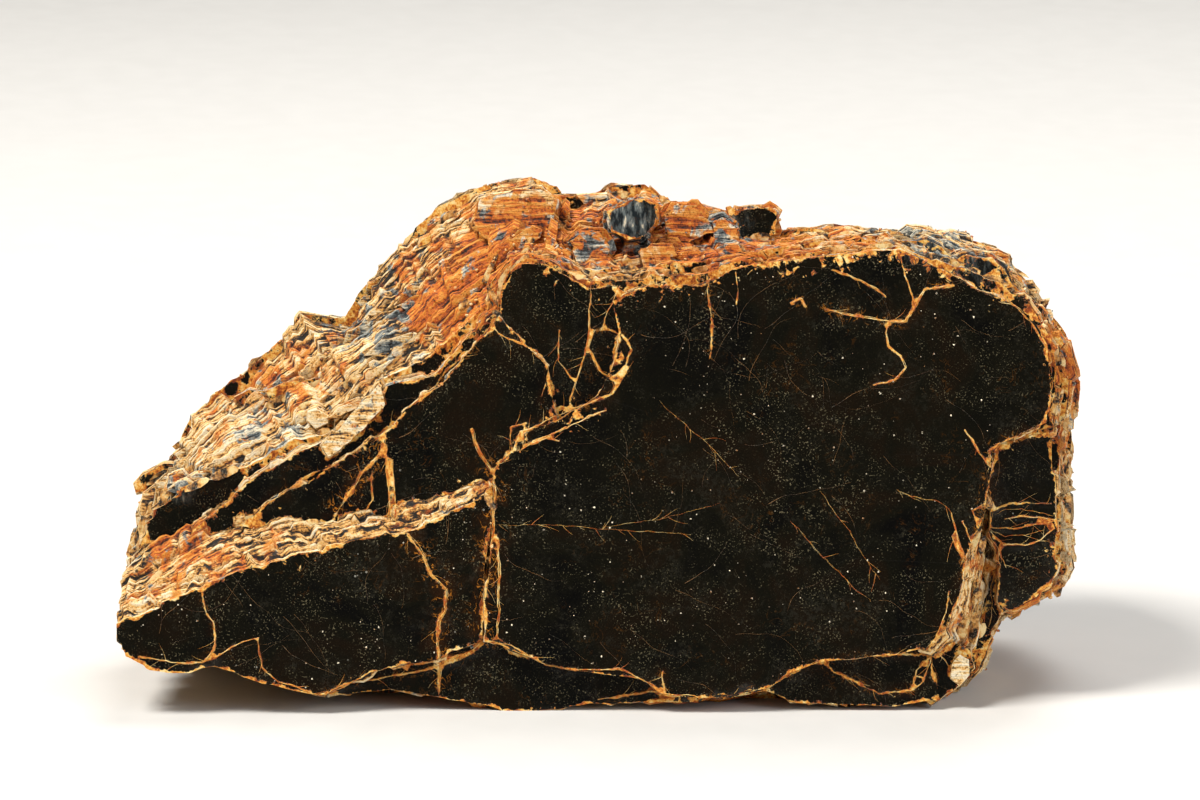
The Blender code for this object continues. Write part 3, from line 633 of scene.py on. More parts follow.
def face_grid(outline, crack_points, draws):
    """Points all over a face, a little uneven, clear of its outline and of its cracks."""
    low, high = outline.min(0), outline.max(0)
    rows = int((high[1] - low[1]) / FACE_STEP) + 1
    columns = int((high[0] - low[0]) / FACE_STEP) + 1
    grid = []
    for row in range(rows):
        for column in range(columns):
            across = column + 0.5 * (row % 2) + draws.uniform(-0.25, 0.25)
            up = row + draws.uniform(-0.25, 0.25)
            grid.append((low[0] + across * FACE_STEP, low[1] + up * FACE_STEP))
    grid = np.array(grid).reshape(-1, 2)
    ring_gap = distance_to_lines(grid, outline, np.roll(outline, -1, axis=0)).min(1)
    kept = inside(grid, outline) & (ring_gap > FACE_CLEAR)
    if crack_points:
        near = np.array(crack_points)
        gap = np.sqrt(((grid[:, None] - near[None]) ** 2).sum(2)).min(1)
        kept &= gap > GRID_CLEAR
    return grid[kept]


def face_depths(places, plane, cracks, relief):
    """The depth at each place of a face: its plane, gentle swells, and the ridges of its cracks."""
    if not len(places):
        return []
    gaps = cracks.measure(places)[0] if cracks else np.full(len(places), NO_CRACK)
    depths = []
    for (u, v), gap in zip(places, gaps):
        swell = 0.07 * wave(u, v, plane[0], 7.0) + 0.025 * wave(u, v, plane[0] + 5.0, 2.0)
        ridge = VEIN_HEIGHT * math.exp(-gap * gap) * (1.0 + 0.8 * wave(u, v, 2.0, 0.6))
        depths.append(plane_depth(plane, u, v) + relief * (swell - ridge))
    return depths


def cap_mesh(ring, plane, cracks, relief):
    """Fill a ring with a fine face. Gives its inner points (u, v, w), and faces over both."""
    outline = np.array([(u, v) for u, v, w in ring])
    count = len(ring)
    crack_points, crack_edges = cracks.points_in(outline) if cracks else ([], [])
    grid = face_grid(outline, crack_points, random.Random(count))
    points = [Vector(place) for place in (*outline, *crack_points, *grid)]
    edges = [(count + a, count + b) for a, b in crack_edges]
    made = delaunay_2d_cdt(points, edges, [list(range(count))], 1, 1e-5)
    made_points, made_faces, origins = made[0], made[2], made[3]
    numbers, inner = {}, []
    for index, origin in enumerate(origins):
        on_ring = [source for source in origin if source < count]
        if on_ring:
            numbers[index] = on_ring[0]
            continue
        numbers[index] = count + len(inner)
        inner.append(tuple(made_points[index]))
    depths = face_depths(np.array(inner), plane, cracks, relief)
    inner = [(u, v, w) for (u, v), w in zip(inner, depths)]
    faces = [[numbers[index] for index in face] for face in made_faces]
    return inner, [face for face in faces if len(set(face)) == 3]


class Wall:
    """The broken edges of a packet's sheets."""

    def __init__(self, name, points, planes, last_sheet, chips):
        self.points, self.planes, self.chips = points, planes, chips
        self.outs = [outward(points, index, 2) for index in range(len(points))]
        self.packet = packet_number(name)
        self.last_sheet = last_sheet

    def ring(self, share, travel, sheet, group, gap):
        """The ring of a sheet's edge, at one share of the packet's depth."""
        ring = []
        for (u, v, du, dv), out in zip(self.points, self.outs):
            edge = self.chips * broken(u, v, sheet, self.packet + 1.3 * group, gap)
            moved = travel
            if sheet in (0, self.last_sheet):
                edge *= 0.4
            else:
                moved = travel + 0.05 * wave(u, v, group, 5.0, self.packet)
                moved = min(1.0, max(0.0, moved))
            ring_u = u + moved * du + edge * out.x
            ring_v = v + moved * dv + edge * out.y
            near_w, far_w = (plane_depth(plane, ring_u, ring_v) for plane in self.planes)
            ring.append((ring_u, ring_v, near_w + (far_w - near_w) * share))
        return ring


def sheet_rings(name, points, planes, thickness, chips):
    """The rings round a packet's sheets, two for each, in steps from its near to its far face."""
    draws = random.Random(name)
    shares = sheet_edges(abs(planes[1][0] - planes[0][0]), thickness, draws)
    last_sheet = len(shares) - 2
    wall = Wall(name, points, planes, last_sheet, chips)
    risers = [draws.uniform(0.5, 1.0) for sheet in shares[1:]]
    treads = [draws.choice(TREADS) for sheet in shares[1:]]
    whole = sum(risers) + sum(treads[1:])
    rings, travel, group = [], 0.0, 0
    for sheet, (start, end) in enumerate(zip(shares, shares[1:])):
        if draws.random() < NEW_GROUP_SHARE:
            group += 1
        gap = GAP_DEPTH if draws.random() < GAP_SHARE else 0.0
        lip = LIP * (end - start)
        if sheet > 0:
            travel += treads[sheet] / whole
            start += lip
        if sheet < last_sheet:
            end -= lip
        rings.append(wall.ring(start, travel, sheet, group, gap))
        travel += risers[sheet] / whole
        rings.append(wall.ring(end, travel, sheet, group, gap))
    return rings


def sheet_stack(name, outline, near, far, thickness=SHEET, step=EDGE_STEP, chips=1.0,
                near_cracks=None, far_cracks=None, face=GLASSY):
    """One closed packet: every sheet's broken edge, and a face at each end."""
    points = finely_spaced(outline, step, max(step, COARSE_STEP))
    for tries in range(PACKET_TRIES):
        rings = sheet_rings(name, points, (near, far), thickness, chips)
        near_cap = cap_mesh(rings[0], near, near_cracks, 1.0)
        far_cap = cap_mesh(rings[-1], far, far_cracks, -1.0)
        packet_object = packet_mesh(name, rings, near_cap, far_cap, face)
        if is_closed(packet_object.data):
            return packet_object
        bpy.data.objects.remove(packet_object, do_unlink=True)
        chips *= CALMER
    raise RuntimeError(f"packet {name} doesn't close")


def packet_mesh(name, rings, near_cap, far_cap, face):
    """The mesh object of a packet, with the attribute that tells its cleavage faces."""
    count, last = len(rings[0]), (len(rings) - 1) * len(rings[0])
    verts = [point for ring in rings for point in ring]
    faces, cleavage = [], []
    for start in range(0, last, count):
        for index in range(count):
            a, b = start + index, start + (index + 1) % count
            faces.append((a, b, b + count, a + count))
            cleavage.append(0.0)
    for (inner, triangles), ring_start, turn in ((near_cap, 0, 1), (far_cap, last, -1)):
        inner_start = len(verts) - count
        verts += inner
        for triangle in triangles:
            corners = [ring_start + i if i < count else inner_start + i for i in triangle]
            faces.append(corners[::turn])
            cleavage.append(face)
    mesh = bpy.data.meshes.new(name)
    mesh.from_pydata(book_to_world(verts).tolist(), [], faces)
    mesh.attributes.new("cleavage", "FLOAT", "FACE").data.foreach_set("value", cleavage)
    along, across = bedding(rings)
    inner = np.zeros(len(near_cap[0]) + len(far_cap[0]))
    mark(mesh, "along", np.concatenate([along, inner]))
    mark(mesh, "across", np.concatenate([across, inner]))
    return linked(name, mesh)


def bedding(rings):
    """For each wall vertex, how far it lies along the sheets and how far across them, in mm."""
    places = np.array(rings)
    steps = np.linalg.norm(np.roll(places, -1, axis=1) - places, axis=2).mean(0)
    along = np.concatenate([[0.0], np.cumsum(steps)[:-1]])
    down = np.linalg.norm(places[1:] - places[:-1], axis=2).mean(1)
    across = np.concatenate([[0.0], np.cumsum(down)])
    return np.tile(along, len(rings)), np.repeat(across, len(along))


def mark(mesh, name, values):
    """Give a mesh one number for each vertex."""
    attribute = mesh.attributes.new(name, "FLOAT", "POINT")
    attribute.data.foreach_set("value", np.asarray(values, np.float32))


def is_closed(mesh):
    """Whether every edge of a mesh has just two faces."""
    uses = np.zeros(len(mesh.edges), int)
    edges = np.zeros(len(mesh.loops), int)
    mesh.loops.foreach_get("edge_index", edges)
    np.add.at(uses, edges, 1)
    return bool((uses == 2).all())


def applied(thing):
    """Replace an object's mesh by the mesh that its modifiers make."""
    graph = bpy.context.evaluated_depsgraph_get()
    mesh = bpy.data.meshes.new_from_object(thing.evaluated_get(graph))
    thing.modifiers.clear()
    thing.data = mesh


def unite(base, others):
    """Join closed objects into one surface."""
    for other in others:
        union = base.modifiers.new(other.name, "BOOLEAN")
        union.operation = "UNION"
        union.solver = "MANIFOLD"
        union.object = other
    applied(base)
    for other in others:
        bpy.data.objects.remove(other, do_unlink=True)


def front_packets(cracks):
    """The plates and facets of the front, each reaching back into the thick half."""
    def plate(name, outline, near, far, chips=0.55):
        return sheet_stack(name, outline, near, far, chips=chips, near_cracks=cracks)

    return [
        plate("main_plate", spread(MAIN_PLATE, 0.5), MAIN_FACE, (5.6, 0.0, 0.0), 0.4),
        plate("right_band", RIGHT_BAND, (0.3, 0.0, 0.0), (4.4, 0.0, 0.0), 0.6),
        plate("left_slab", LEFT_SLAB, SLAB_FACE, (9.5, 0.03, 0.0), 0.8),
        plate("lower_sheets", spread(LOWER_SHEETS, -0.6), (0.9, 0.0, 0.0), (6.4, 0.0, 0.0)),
        plate("long_facet", spread(LONG_FACET, 0.5), (-0.2, -0.115, 0.0), (6.0, -0.03, 0.0)),
        plate("outer_facet", spread(OUTER_FACET, 1.0), (1.1, -0.1, 0.0), (6.5, -0.03, 0.0)),
        plate("upper_facet", spread(UPPER_FACET, 0.4), (0.9, 0.0, 0.0), (5.8, 0.0, 0.0), 0.5),
        plate("upper_rim", spread(UPPER_RIM, 0.7), (1.6, 0.0, 0.0), (5.9, 0.0, 0.0), 0.8),
        plate("right_plateau", spread(RIGHT_PLATEAU, 0.5), (2.7, 0.0, -0.06),
              (7.2, 0.0, 0.0)),
        plate("corner_lens", spread(CORNER_LENS, 0.4), (1.3, 0.0, 0.0), (6.0, 0.0, 0.0)),
        plate("top_right_facet", spread(TOP_RIGHT_FACET, 0.5), (3.2, 0.0, 0.0),
              (7.0, 0.0, 0.0)),
    ]


def top_blocks():
    """The broken blocks along the top edge."""
    def block(name, outline, grows, near, far, face=WEATHERED):
        return sheet_stack(name, spread(outline, grows), (near, 0.0, 0.0), (far, 0.0, 0.0),
                           chips=0.7, face=face)

    return [
        block("summit_block", SUMMIT_BLOCK, 0.8, 9.0, 15.5),
        block("blue_block", BLUE_BLOCK, 0.4, 5.8, 12.5, GLASSY),
        block("brown_block", BROWN_BLOCK, 0.5, 8.0, 14.0),
        block("skyline_plate", SKYLINE_PLATE, 0.2, 10.0, 13.5, GLASSY),
        block("shoulder_block", SHOULDER_BLOCK, 0.3, 8.0, 12.5),
        block("valley_block", VALLEY_BLOCK, 0.5, 6.0, 10.5),
        block("ridge_block", RIDGE_BLOCK, 0.4, 5.0, 9.5),
        block("pale_wedge", PALE_WEDGE, 0.2, 2.2, 7.5),
        block("pale_scale", PALE_SCALE, 0.3, 0.8, 3.0),
    ]


def back_cracks(draws):
    """The cracks of the reverse: the main ones, and smaller ones that wander between them."""
    cracks = list(BACK_CRACKS)
    for crack in range(SMALL_BACK_CRACKS):
        u, v = draws.uniform(-24.0, 30.0), draws.uniform(5.0, 33.0)
        aim = draws.choice((0.3, 1.5, 2.4)) + draws.uniform(-0.4, 0.4)
        line = [(u, v)]
        for corner in range(draws.choice((2, 3, 4, 5))):
            u += BACK_CRACK_STEP * math.cos(aim)
            v += BACK_CRACK_STEP * math.sin(aim)
            aim += draws.gauss(0.0, 0.5)
            line.append((u, v))
        cracks.append((draws.choice((0.04, 0.05, 0.08, 0.1)), line))
    return cracks


def back_packets(cracks):
    """The far half of the book, and the loose plates and scales left on its reverse."""
    def plate(name, outline, near, far, slope, thickness):
        return sheet_stack(name, outline, (near, 0.0, 0.0), (far, slope, 0.0), thickness,
                           1.6 * EDGE_STEP, chips=0.8, far_cracks=cracks)

    middle = far_outline(FRONT_HALF)
    reverse = far_outline(FRONT_HALF, BACK_TAPER, BACK_SHIFT)
    packets = [plate("back_half", between(middle, reverse), MIDDLE_DEPTH - 0.6, BACK_DEPTH, 0.0,
                     COARSE_SHEET)]
    for name, size, shift, wider, near, far, slope in LOOSE_PLATES:
        outline = spread(far_outline(FRONT_HALF, size, shift), -wider)
        packets.append(plate(name, outline, BACK_DEPTH + near, BACK_DEPTH + far, slope, SHEET))
    return packets


def block_outline(middle, along, out, draws):
    """The corners of a small block, round its middle (u, v)."""
    length, width = draws.uniform(0.7, 2.6), draws.uniform(0.35, 0.95)
    turns = draws.choice((5, 6, 7))
    corners = []
    for corner in range(turns):
        angle = -2.0 * math.pi * (corner + draws.uniform(-0.3, 0.3)) / turns
        reach = draws.uniform(0.8, 1.15)
        a, b = length * reach * math.cos(angle), width * reach * math.sin(angle)
        corners.append((middle[0] + a * along.x + b * out.x, middle[1] + a * along.y + b * out.y))
    return spread(corners, 0.25)


def rubble(draws, count):
    """Small broken blocks that sit in the slopes of the front half's wall."""
    blocks = []
    while len(blocks) < count:
        (u, v, du, dv), along, out = on_outline(FRONT_HALF, draws)
        if v < RUBBLE_LOWEST:
            continue
        depth = draws.uniform(0.08, 0.95)
        middle = (u + depth * du - 0.25 * out.x, v + depth * dv - 0.25 * out.y)
        outline = block_outline(middle, along, out, draws)
        near_w = BOOK_NEAR + depth * (MIDDLE_DEPTH - BOOK_NEAR) - draws.uniform(0.2, 0.9)
        slope_u, slope_v = draws.uniform(-0.12, 0.12), draws.uniform(-0.12, 0.12)
        near = (near_w - slope_u * middle[0] - slope_v * middle[1], slope_u, slope_v)
        face = draws.choice((WEATHERED, WEATHERED, WEATHERED, WEATHERED, GLASSY))
        far = (near[0] + draws.uniform(0.8, 2.2), slope_u, slope_v)
        blocks.append(sheet_stack(f"rubble_{len(blocks)}", outline, near, far, thickness=0.4,
                                  step=0.45, chips=0.35, face=face))
    return blocks


# The whole book

def bend(points, near_edge):
    """Bend the stone a little out of true: its sheets swell, and curl where they are broken."""
    bent = points.copy()
    for row, (u, v, w) in enumerate(points):
        loose = near_edge[row]
        bent[row, 0] += loose * (0.06 * wave(u, v, w, 3.6, 3.1) + 0.03 * wave(u, v, w, 0.9, 5.2))
        bent[row, 1] += loose * (0.06 * wave(u, v, w, 3.6, 7.7) + 0.03 * wave(u, v, w, 0.9, 1.9))
        bent[row, 2] += 0.10 * wave(u, v, w, 11.0, 2.2) + 0.08 * loose * wave(u, v, w, 3.8, 8.4)
    return bent


def roughen(mesh):
    """Push a mesh's weathered walls in and out a little, in grains."""
    smooth = np.zeros(len(mesh.vertices), bool)
    for polygon, kind in zip(mesh.polygons, face_kinds(mesh)):
        if kind > 0.5:
            smooth[list(polygon.vertices)] = True
    places = read(mesh.vertices, "co", 3)
    push = np.zeros(len(places))
    for index, (u, v, w) in enumerate(world_to_book(places)):
        if not smooth[index]:
            push[index] = 0.05 * wave(u, v, w, 0.75, 4.4) + 0.06 * wave(u, v, w, 1.7, 9.1)
    places += MM * push[:, None] * read(mesh.vertices, "normal", 3)
    mesh.vertices.foreach_set("co", keep_in_cad_box(places).ravel())


def rim_distance(mesh, places):
    """For each vertex, how far it lies from the broken edge of its cleavage face, in mm."""
    on_face = np.zeros(len(mesh.vertices), bool)
    on_wall = np.zeros(len(mesh.vertices), bool)
    for polygon, kind in zip(mesh.polygons, face_kinds(mesh)):
        chosen = on_face if kind > 0.5 else on_wall
        chosen[list(polygon.vertices)] = True
    border = np.nonzero(on_face & on_wall)[0]
    tree = KDTree(len(border))
    for index in border:
        tree.insert(places[index], int(index))
    tree.balance()
    distance = np.zeros(len(mesh.vertices))
    for index in np.nonzero(on_face & ~on_wall)[0]:
        distance[index] = tree.find(places[index])[2]
    return distance


def standing_out(mesh):
    """For each vertex, how far it stands out from its neighbours: 1 on an edge, -1 in a nook."""
    ends = np.zeros(len(mesh.edges) * 2, int)
    mesh.edges.foreach_get("vertices", ends)
    first, second = ends.reshape(-1, 2).T
    places, normals = read(mesh.vertices, "co", 3), read(mesh.vertices, "normal", 3)
    total, count = np.zeros(len(places)), np.zeros(len(places))
    for here, there in ((first, second), (second, first)):
        offset = places[here] - places[there]
        length = np.maximum(np.linalg.norm(offset, axis=1), 1e-7)
        np.add.at(total, here, (offset * normals[here]).sum(1) / length)
        np.add.at(count, here, 1.0)
    return np.clip(2.0 * total / np.maximum(count, 1.0), -1.0, 1.0)


def paint_by_kind(mesh):
    """Give the cleavage faces the first material and the broken edges the second."""
    mesh.polygons.foreach_set("material_index", (face_kinds(mesh) < 0.5).astype(np.int32))


def trim_foot(book):
    """Cut the stone's foot level where it stands."""
    bpy.ops.mesh.primitive_cube_add(size=1.0)
    block = bpy.context.object
    block.scale = TRIM_SIZE
    block.location = (0.0, 0.0, -0.5 * TRIM_SIZE[2])
    trim = book.modifiers.new("trim", "BOOLEAN")
    trim.operation = "DIFFERENCE"
    trim.solver = "MANIFOLD"
    trim.object = block
    applied(book)
    bpy.data.objects.remove(block, do_unlink=True)


def keep_in_cad_box(places):
    """Hold world points within the CAD solid's box."""
    return np.clip(places, np.array(cad_box[0]), np.array(cad_box[1]))


def make_book(near_cracks, far_cracks):
    """The stone itself: every packet, joined, bent and trimmed."""
    book = sheet_stack("biotite_book", FRONT_HALF, (BOOK_NEAR, -0.03, 0.0),
                       (MIDDLE_DEPTH, 0.0, 0.0))
    packets = front_packets(near_cracks) + top_blocks() + back_packets(far_cracks)
    unite(book, packets + rubble(random.Random(SEEDS["rubble"]), RUBBLE_COUNT))
    places = book_places(book.data)
    near_edge = np.exp(-rim_distance(book.data, places) / RIM_REACH)
    bent = keep_in_cad_box(book_to_world(bend(places, near_edge)))
    book.data.vertices.foreach_set("co", bent.ravel())
    roughen(book.data)
    trim_foot(book)
    describe(book.data, near_cracks, far_cracks)
    book.data.shade_smooth()
    book.data.set_sharp_from_angle(angle=FLAT_SHADE_ANGLE)
    return book


def describe(mesh, near_cracks, far_cracks):
    """Give each vertex the numbers that the materials go by."""
    places = book_places(mesh)
    mark(mesh, "rim", rim_distance(mesh, places))
    # How far each vertex stands out: the edge material paints shade into the nooks from it and draws
    # raised edges a little lighter.
    mark(mesh, "nook_shade_and_raised_edge", standing_out(mesh))
    front, reverse = places[:, 2] < MIDDLE_DEPTH - 3.0, places[:, 2] > BACK_DEPTH - 1.0
    widths, stain = np.full(len(places), NO_CRACK), np.zeros(len(places))
    for cracks, chosen in ((near_cracks, front), (far_cracks, reverse)):
        widths[chosen], stain[chosen] = cracks.measure(places[chosen, :2])
    mark(mesh, "crack", widths)
    mark(mesh, "stain", stain)
    for name, spots in COLOUR_SPOTS.items():
        mark(mesh, name, spotted(places, spots))


def book_places(mesh):
    """A mesh's vertices, as an array of (u, v, w)."""
    return world_to_book(read(mesh.vertices, "co", 3))


def spotted(places, spots):
    """How strongly a colour shows at each place, from soft round spots (u, v, reach, strength)."""
    total = np.zeros(len(places))
    for u, v, reach, strength in spots:
        squared = ((places[:, 0] - u) ** 2 + (places[:, 1] - v) ** 2) / reach ** 2
        total += strength * np.exp(-squared)
    return np.clip(total, 0.0, 1.0)


# Flakes, grains and dust

class Pieces:
    """Many small closed shapes, gathered into one mesh."""

    def __init__(self):
        self.verts, self.faces = [], []

    def add(self, verts, faces):
        """Add one shape, its points (u, v, w) in millimetres."""
        start = len(self.verts)
        self.verts += verts
        self.faces += [[start + index for index in face] for face in faces]

    def mesh_object(self, name):
        """The object that holds them all."""
        mesh = bpy.data.meshes.new(name)
        mesh.from_pydata(keep_in_cad_box(book_to_world(self.verts)).tolist(), [], self.faces)
        return linked(name, mesh)


def flake(centre, along, out, length, width, thickness, tilt):
    """A thin sheet of mica with a ragged outline, tilted about its long side."""
    verts = []
    for side in (-0.5, 0.5):
        for corner in range(FLAKE_CORNERS):
            angle = 2.0 * math.pi * corner / FLAKE_CORNERS
            reach = 1.0 + 0.22 * wave(centre[0], centre[1], corner, 0.7, centre[2])
            a = 0.5 * length * reach * math.cos(angle)
            b = 0.5 * width * reach * math.sin(angle)
            curl = 0.10 * b * b / width
            verts.append((centre[0] + a * along.x + b * out.x,
                          centre[1] + a * along.y + b * out.y,
                          centre[2] + side * thickness + tilt * b + curl))
    near = list(range(FLAKE_CORNERS))
    far = list(range(FLAKE_CORNERS, 2 * FLAKE_CORNERS))
    faces = [near, far[::-1]]
    faces += [(b, a, a + FLAKE_CORNERS, b + FLAKE_CORNERS)
              for a, b in zip(near, near[1:] + near[:1])]
    return verts, faces


def make_flakes():
    """Thin sheets that have sprung from the broken edges."""
    draws = random.Random(SEEDS["flakes"])
    pieces = Pieces()
    walls = [(FRONT_HALF, BOOK_NEAR, MIDDLE_DEPTH, FLAKES_ON_WALL),
             (spread(UPPER_RIM, 0.7), 1.6, 5.4, FLAKES_ON_RIM),
             (RIGHT_BAND, 0.4, 4.2, FLAKES_ON_BAND),
             (LEFT_SLAB, -0.6, 8.0, FLAKES_ON_SLAB)]
    for outline, near_w, far_w, count in walls:
        made = 0
        while made < count:
            (u, v, du, dv), along, out = on_outline(outline, draws)
            depth = draws.random()
            if v < FLAKE_LOWEST:
                continue
            made += 1
            width = draws.uniform(0.35, 0.8)
            proud = draws.uniform(-0.35, -0.1) * width
            centre = (u + depth * du + proud * out.x, v + depth * dv + proud * out.y,
                      near_w + depth * (far_w - near_w))
            pieces.add(*flake(centre, along, out, draws.uniform(0.7, 2.4), width,
                              draws.uniform(0.03, 0.07), draws.uniform(-0.3, 0.15)))
    return pieces.mesh_object("sprung_flakes")


def grain(centre, size, draws, base):
    """A small angular grain."""
    verts = []
    stretch = [draws.uniform(0.7, 1.3) for axis in range(3)]
    turn = Matrix.Rotation(draws.uniform(0.0, math.pi), 3, Vector((1.0, draws.random(), 0.4)))
    for corner in base[0]:
        reach = 0.5 * size * draws.uniform(0.8, 1.15)
        place = turn @ Vector(corner)
        verts.append(tuple(c + reach * s * p for c, s, p in zip(centre, stretch, place)))
    return verts, base[1]


def unit_solid(subdivisions):
    """The corners and faces of a small ball, or with no subdivisions of a block, for grains."""
    ball = bmesh.new()
    if subdivisions:
        bmesh.ops.create_icosphere(ball, subdivisions=subdivisions, radius=1.0)
    else:
        bmesh.ops.create_cone(ball, segments=4, radius1=1.0, radius2=0.5, depth=1.2,
                              cap_ends=True)
    verts = [tuple(vert.co) for vert in ball.verts]
    faces = [[vert.index for vert in face.verts] for face in ball.faces]
    ball.free()
    return verts, faces


def make_grains(mesh):
    """Angular grains of the crust that sticks to the weathered edges."""
    draws = random.Random(SEEDS["grains"])
    centres = world_to_book(read(mesh.polygons, "center", 3))
    height = centres[:, 1] + CRUST_TILT * centres[:, 0]
    weight = read(mesh.polygons, "area") * (face_kinds(mesh) < 0.5)
    weight = weight * (centres[:, 2] < CRUST_DEPTH) * (height > CRUST_LEVEL)
    clumps = np.array([wave(u, v, w, 2.2, 6.6) for u, v, w in centres])
    weight *= np.clip(clumps + 0.15, 0.0, 1.0)
    picks = draws.choices(range(len(centres)), weights=weight.tolist(), k=GRAIN_COUNT)
    base = unit_solid(1)
    pieces = Pieces()
    for pick in picks:
        jitter = [draws.uniform(-0.12, 0.12) for axis in range(3)]
        centre = tuple(c + j for c, j in zip(centres[pick], jitter))
        pieces.add(*grain(centre, draws.choice(GRAIN_SIZES), draws, base))
    return pieces.mesh_object("crust_grains")


def surface_finder(mesh):
    """A function that gives the depth w of the stone's near or far side at a place (u, v)."""
    places = book_places(mesh).tolist()
    tree = BVHTree.FromPolygons(places, [polygon.vertices[:] for polygon in mesh.polygons])

    def depth(u, v, side):
        start = -10.0 if side > 0 else 40.0
        hit = tree.ray_cast(Vector((u, v, start)), Vector((0.0, 0.0, side)))[0]
        return hit.z if hit else None

    return depth


def thread(line, radii, depth, side):
    """A fine ridge on the stone along a line of (u, v) places, or nothing where that's off it."""
    verts, faces, previous = [], [], None
    for index, ((u, v), radius) in enumerate(zip(line, radii)):
        w = depth(u, v, side)
        if w is None or (previous is not None and abs(w - previous) > THREAD_JUMP):
            break
        previous = w
        before, after = line[max(0, index - 1)], line[min(len(line) - 1, index + 1)]
        aim = Vector((after[0] - before[0], after[1] - before[1])).normalized()
        base = w + 0.6 * radius * side
        verts += [(u - aim.y * radius, v + aim.x * radius, base),
                  (u, v, w - 1.1 * radius * side),
                  (u + aim.y * radius, v - aim.x * radius, base)]
    rows = len(verts) // 3
    if rows < 3:
        return [], []
    for row in range(rows - 1):
        for corner in range(3):
            a, b = 3 * row + corner, 3 * row + (corner + 1) % 3
            faces.append((a, b, b + 3, a + 3))
    faces += [(2, 1, 0), (3 * rows - 3, 3 * rows - 2, 3 * rows - 1)]
    if side < 0:
        faces = [face[::-1] for face in faces]
    return verts, faces


def strands(line, width, draws):
    """Some threads that run beside each other along a crack: lists of places, and their radii."""
    made = []
    for strand in range(2 + round(9.0 * width)):
        begin, end = sorted(draws.sample(range(len(line)), 2)) if strand > 1 else (0, len(line))
        if end - begin < 3:
            continue
        offset, seed = draws.uniform(-0.6, 0.6) * width, draws.uniform(0.0, 50.0)
        thick = draws.uniform(0.02, 0.05) * min(1.0, width / 0.12)
        places, radii = [], []
        for index in range(begin, end):
            u, v = line[index]
            sway = offset + 0.7 * width * wave(u, v, seed, 1.3) + 0.04 * wave(u, v, seed, 0.4)
            places.append((u + sway, v + 0.5 * sway))
            share = (index - begin) / (end - begin)
            taper = min(1.0, 6.0 * share, 6.0 * (1.0 - share)) * 0.7 + 0.3
            radii.append(thick * taper * (1.0 + 0.5 * wave(u, v, seed, 0.6)))
        made.append((places, radii))
    return made


def fibre(start, aim, length, thick, draws):
    """A fine fibre that leaves a crack, or lies on the face: its places and radii."""
    u, v = start
    turn, seed = draws.uniform(-0.06, 0.06), draws.uniform(0.0, 50.0)
    places, radii = [], []
    steps = max(4, round(length / FIBRE_STEP))
    for step in range(steps + 1):
        places.append((u, v))
        radii.append(thick * (1.0 - 0.75 * step / steps))
        aim += turn + 0.35 * wave(u, v, seed, 0.9)
        u += length / steps * math.cos(aim)
        v += length / steps * math.sin(aim)
    return places, radii


def frayed(line, draws):
    """The fibres that leave a crack."""
    made = []
    for index in range(1, len(line) - 1, 2):
        if draws.random() > FRAY_SHARE:
            continue
        here, there = line[index - 1], line[index + 1]
        aim = math.atan2(there[1] - here[1], there[0] - here[0])
        aim += draws.choice((-1, 1)) * draws.uniform(0.15, 1.0)
        length, thick = draws.uniform(0.4, 1.8), draws.uniform(0.012, 0.03)
        made.append(fibre(line[index], aim, length, thick, draws))
    return made


def make_threads(depth, near_cracks, far_cracks):
    """The golden threads that fill the cracks, and the fibres that fray from them."""
    draws = random.Random(SEEDS["threads"])
    pieces = Pieces()
    for cracks, side in ((near_cracks, 1), (far_cracks, -1)):
        for width, line in cracks.lines:
            for places, radii in strands(line, width, draws) + frayed(line, draws):
                pieces.add(*thread(places, radii, depth, side))
    return pieces.mesh_object("golden_threads")


def make_hairlines(depth):
    """Faint long fibres and cracks in the surface of the cleavage faces."""
    draws = random.Random(SEEDS["hairlines"])
    pieces = Pieces()
    for count in range(HAIRLINE_COUNT):
        start = (draws.uniform(-34.0, 34.0), draws.uniform(2.0, 34.0))
        aim = draws.choice((0.35, -0.9, 1.45, -0.55)) + draws.uniform(-0.3, 0.3)
        length, thick = draws.uniform(1.5, 8.0), draws.uniform(0.008, 0.02)
        places, radii = fibre(start, aim, length, thick, draws)
        pieces.add(*thread(places, radii, depth, draws.choice((1, 1, 1, -1))))
    return pieces.mesh_object("hairlines")


def make_dust():
    """Specks of dust on the front's cleavage faces."""
    draws = random.Random(SEEDS["dust"])
    pieces = Pieces()
    base = unit_solid(0)
    faces = [(MAIN_PLATE, MAIN_FACE, DUST_ON_PLATE), (LEFT_SLAB, SLAB_FACE, DUST_ON_SLAB)]
    for outline, plane, count in faces:
        ring = np.array([corner[:2] for corner in outline])
        low, high = ring.min(0), ring.max(0)
        made = 0
        while made < count:
            u, v = draws.uniform(low[0], high[0]), draws.uniform(low[1], high[1])
            if not inside(np.array([(u, v)]), ring)[0]:
                continue
            if wave(u, v, 4.0, 6.0) + draws.uniform(-0.3, 0.5) < 0.0:
                continue
            made += 1
            place = (u, v, plane_depth(plane, u, v) - 0.03)
            pieces.add(*grain(place, draws.choice(DUST_SIZES), draws, base))
    return pieces.mesh_object("dust")


# Materials

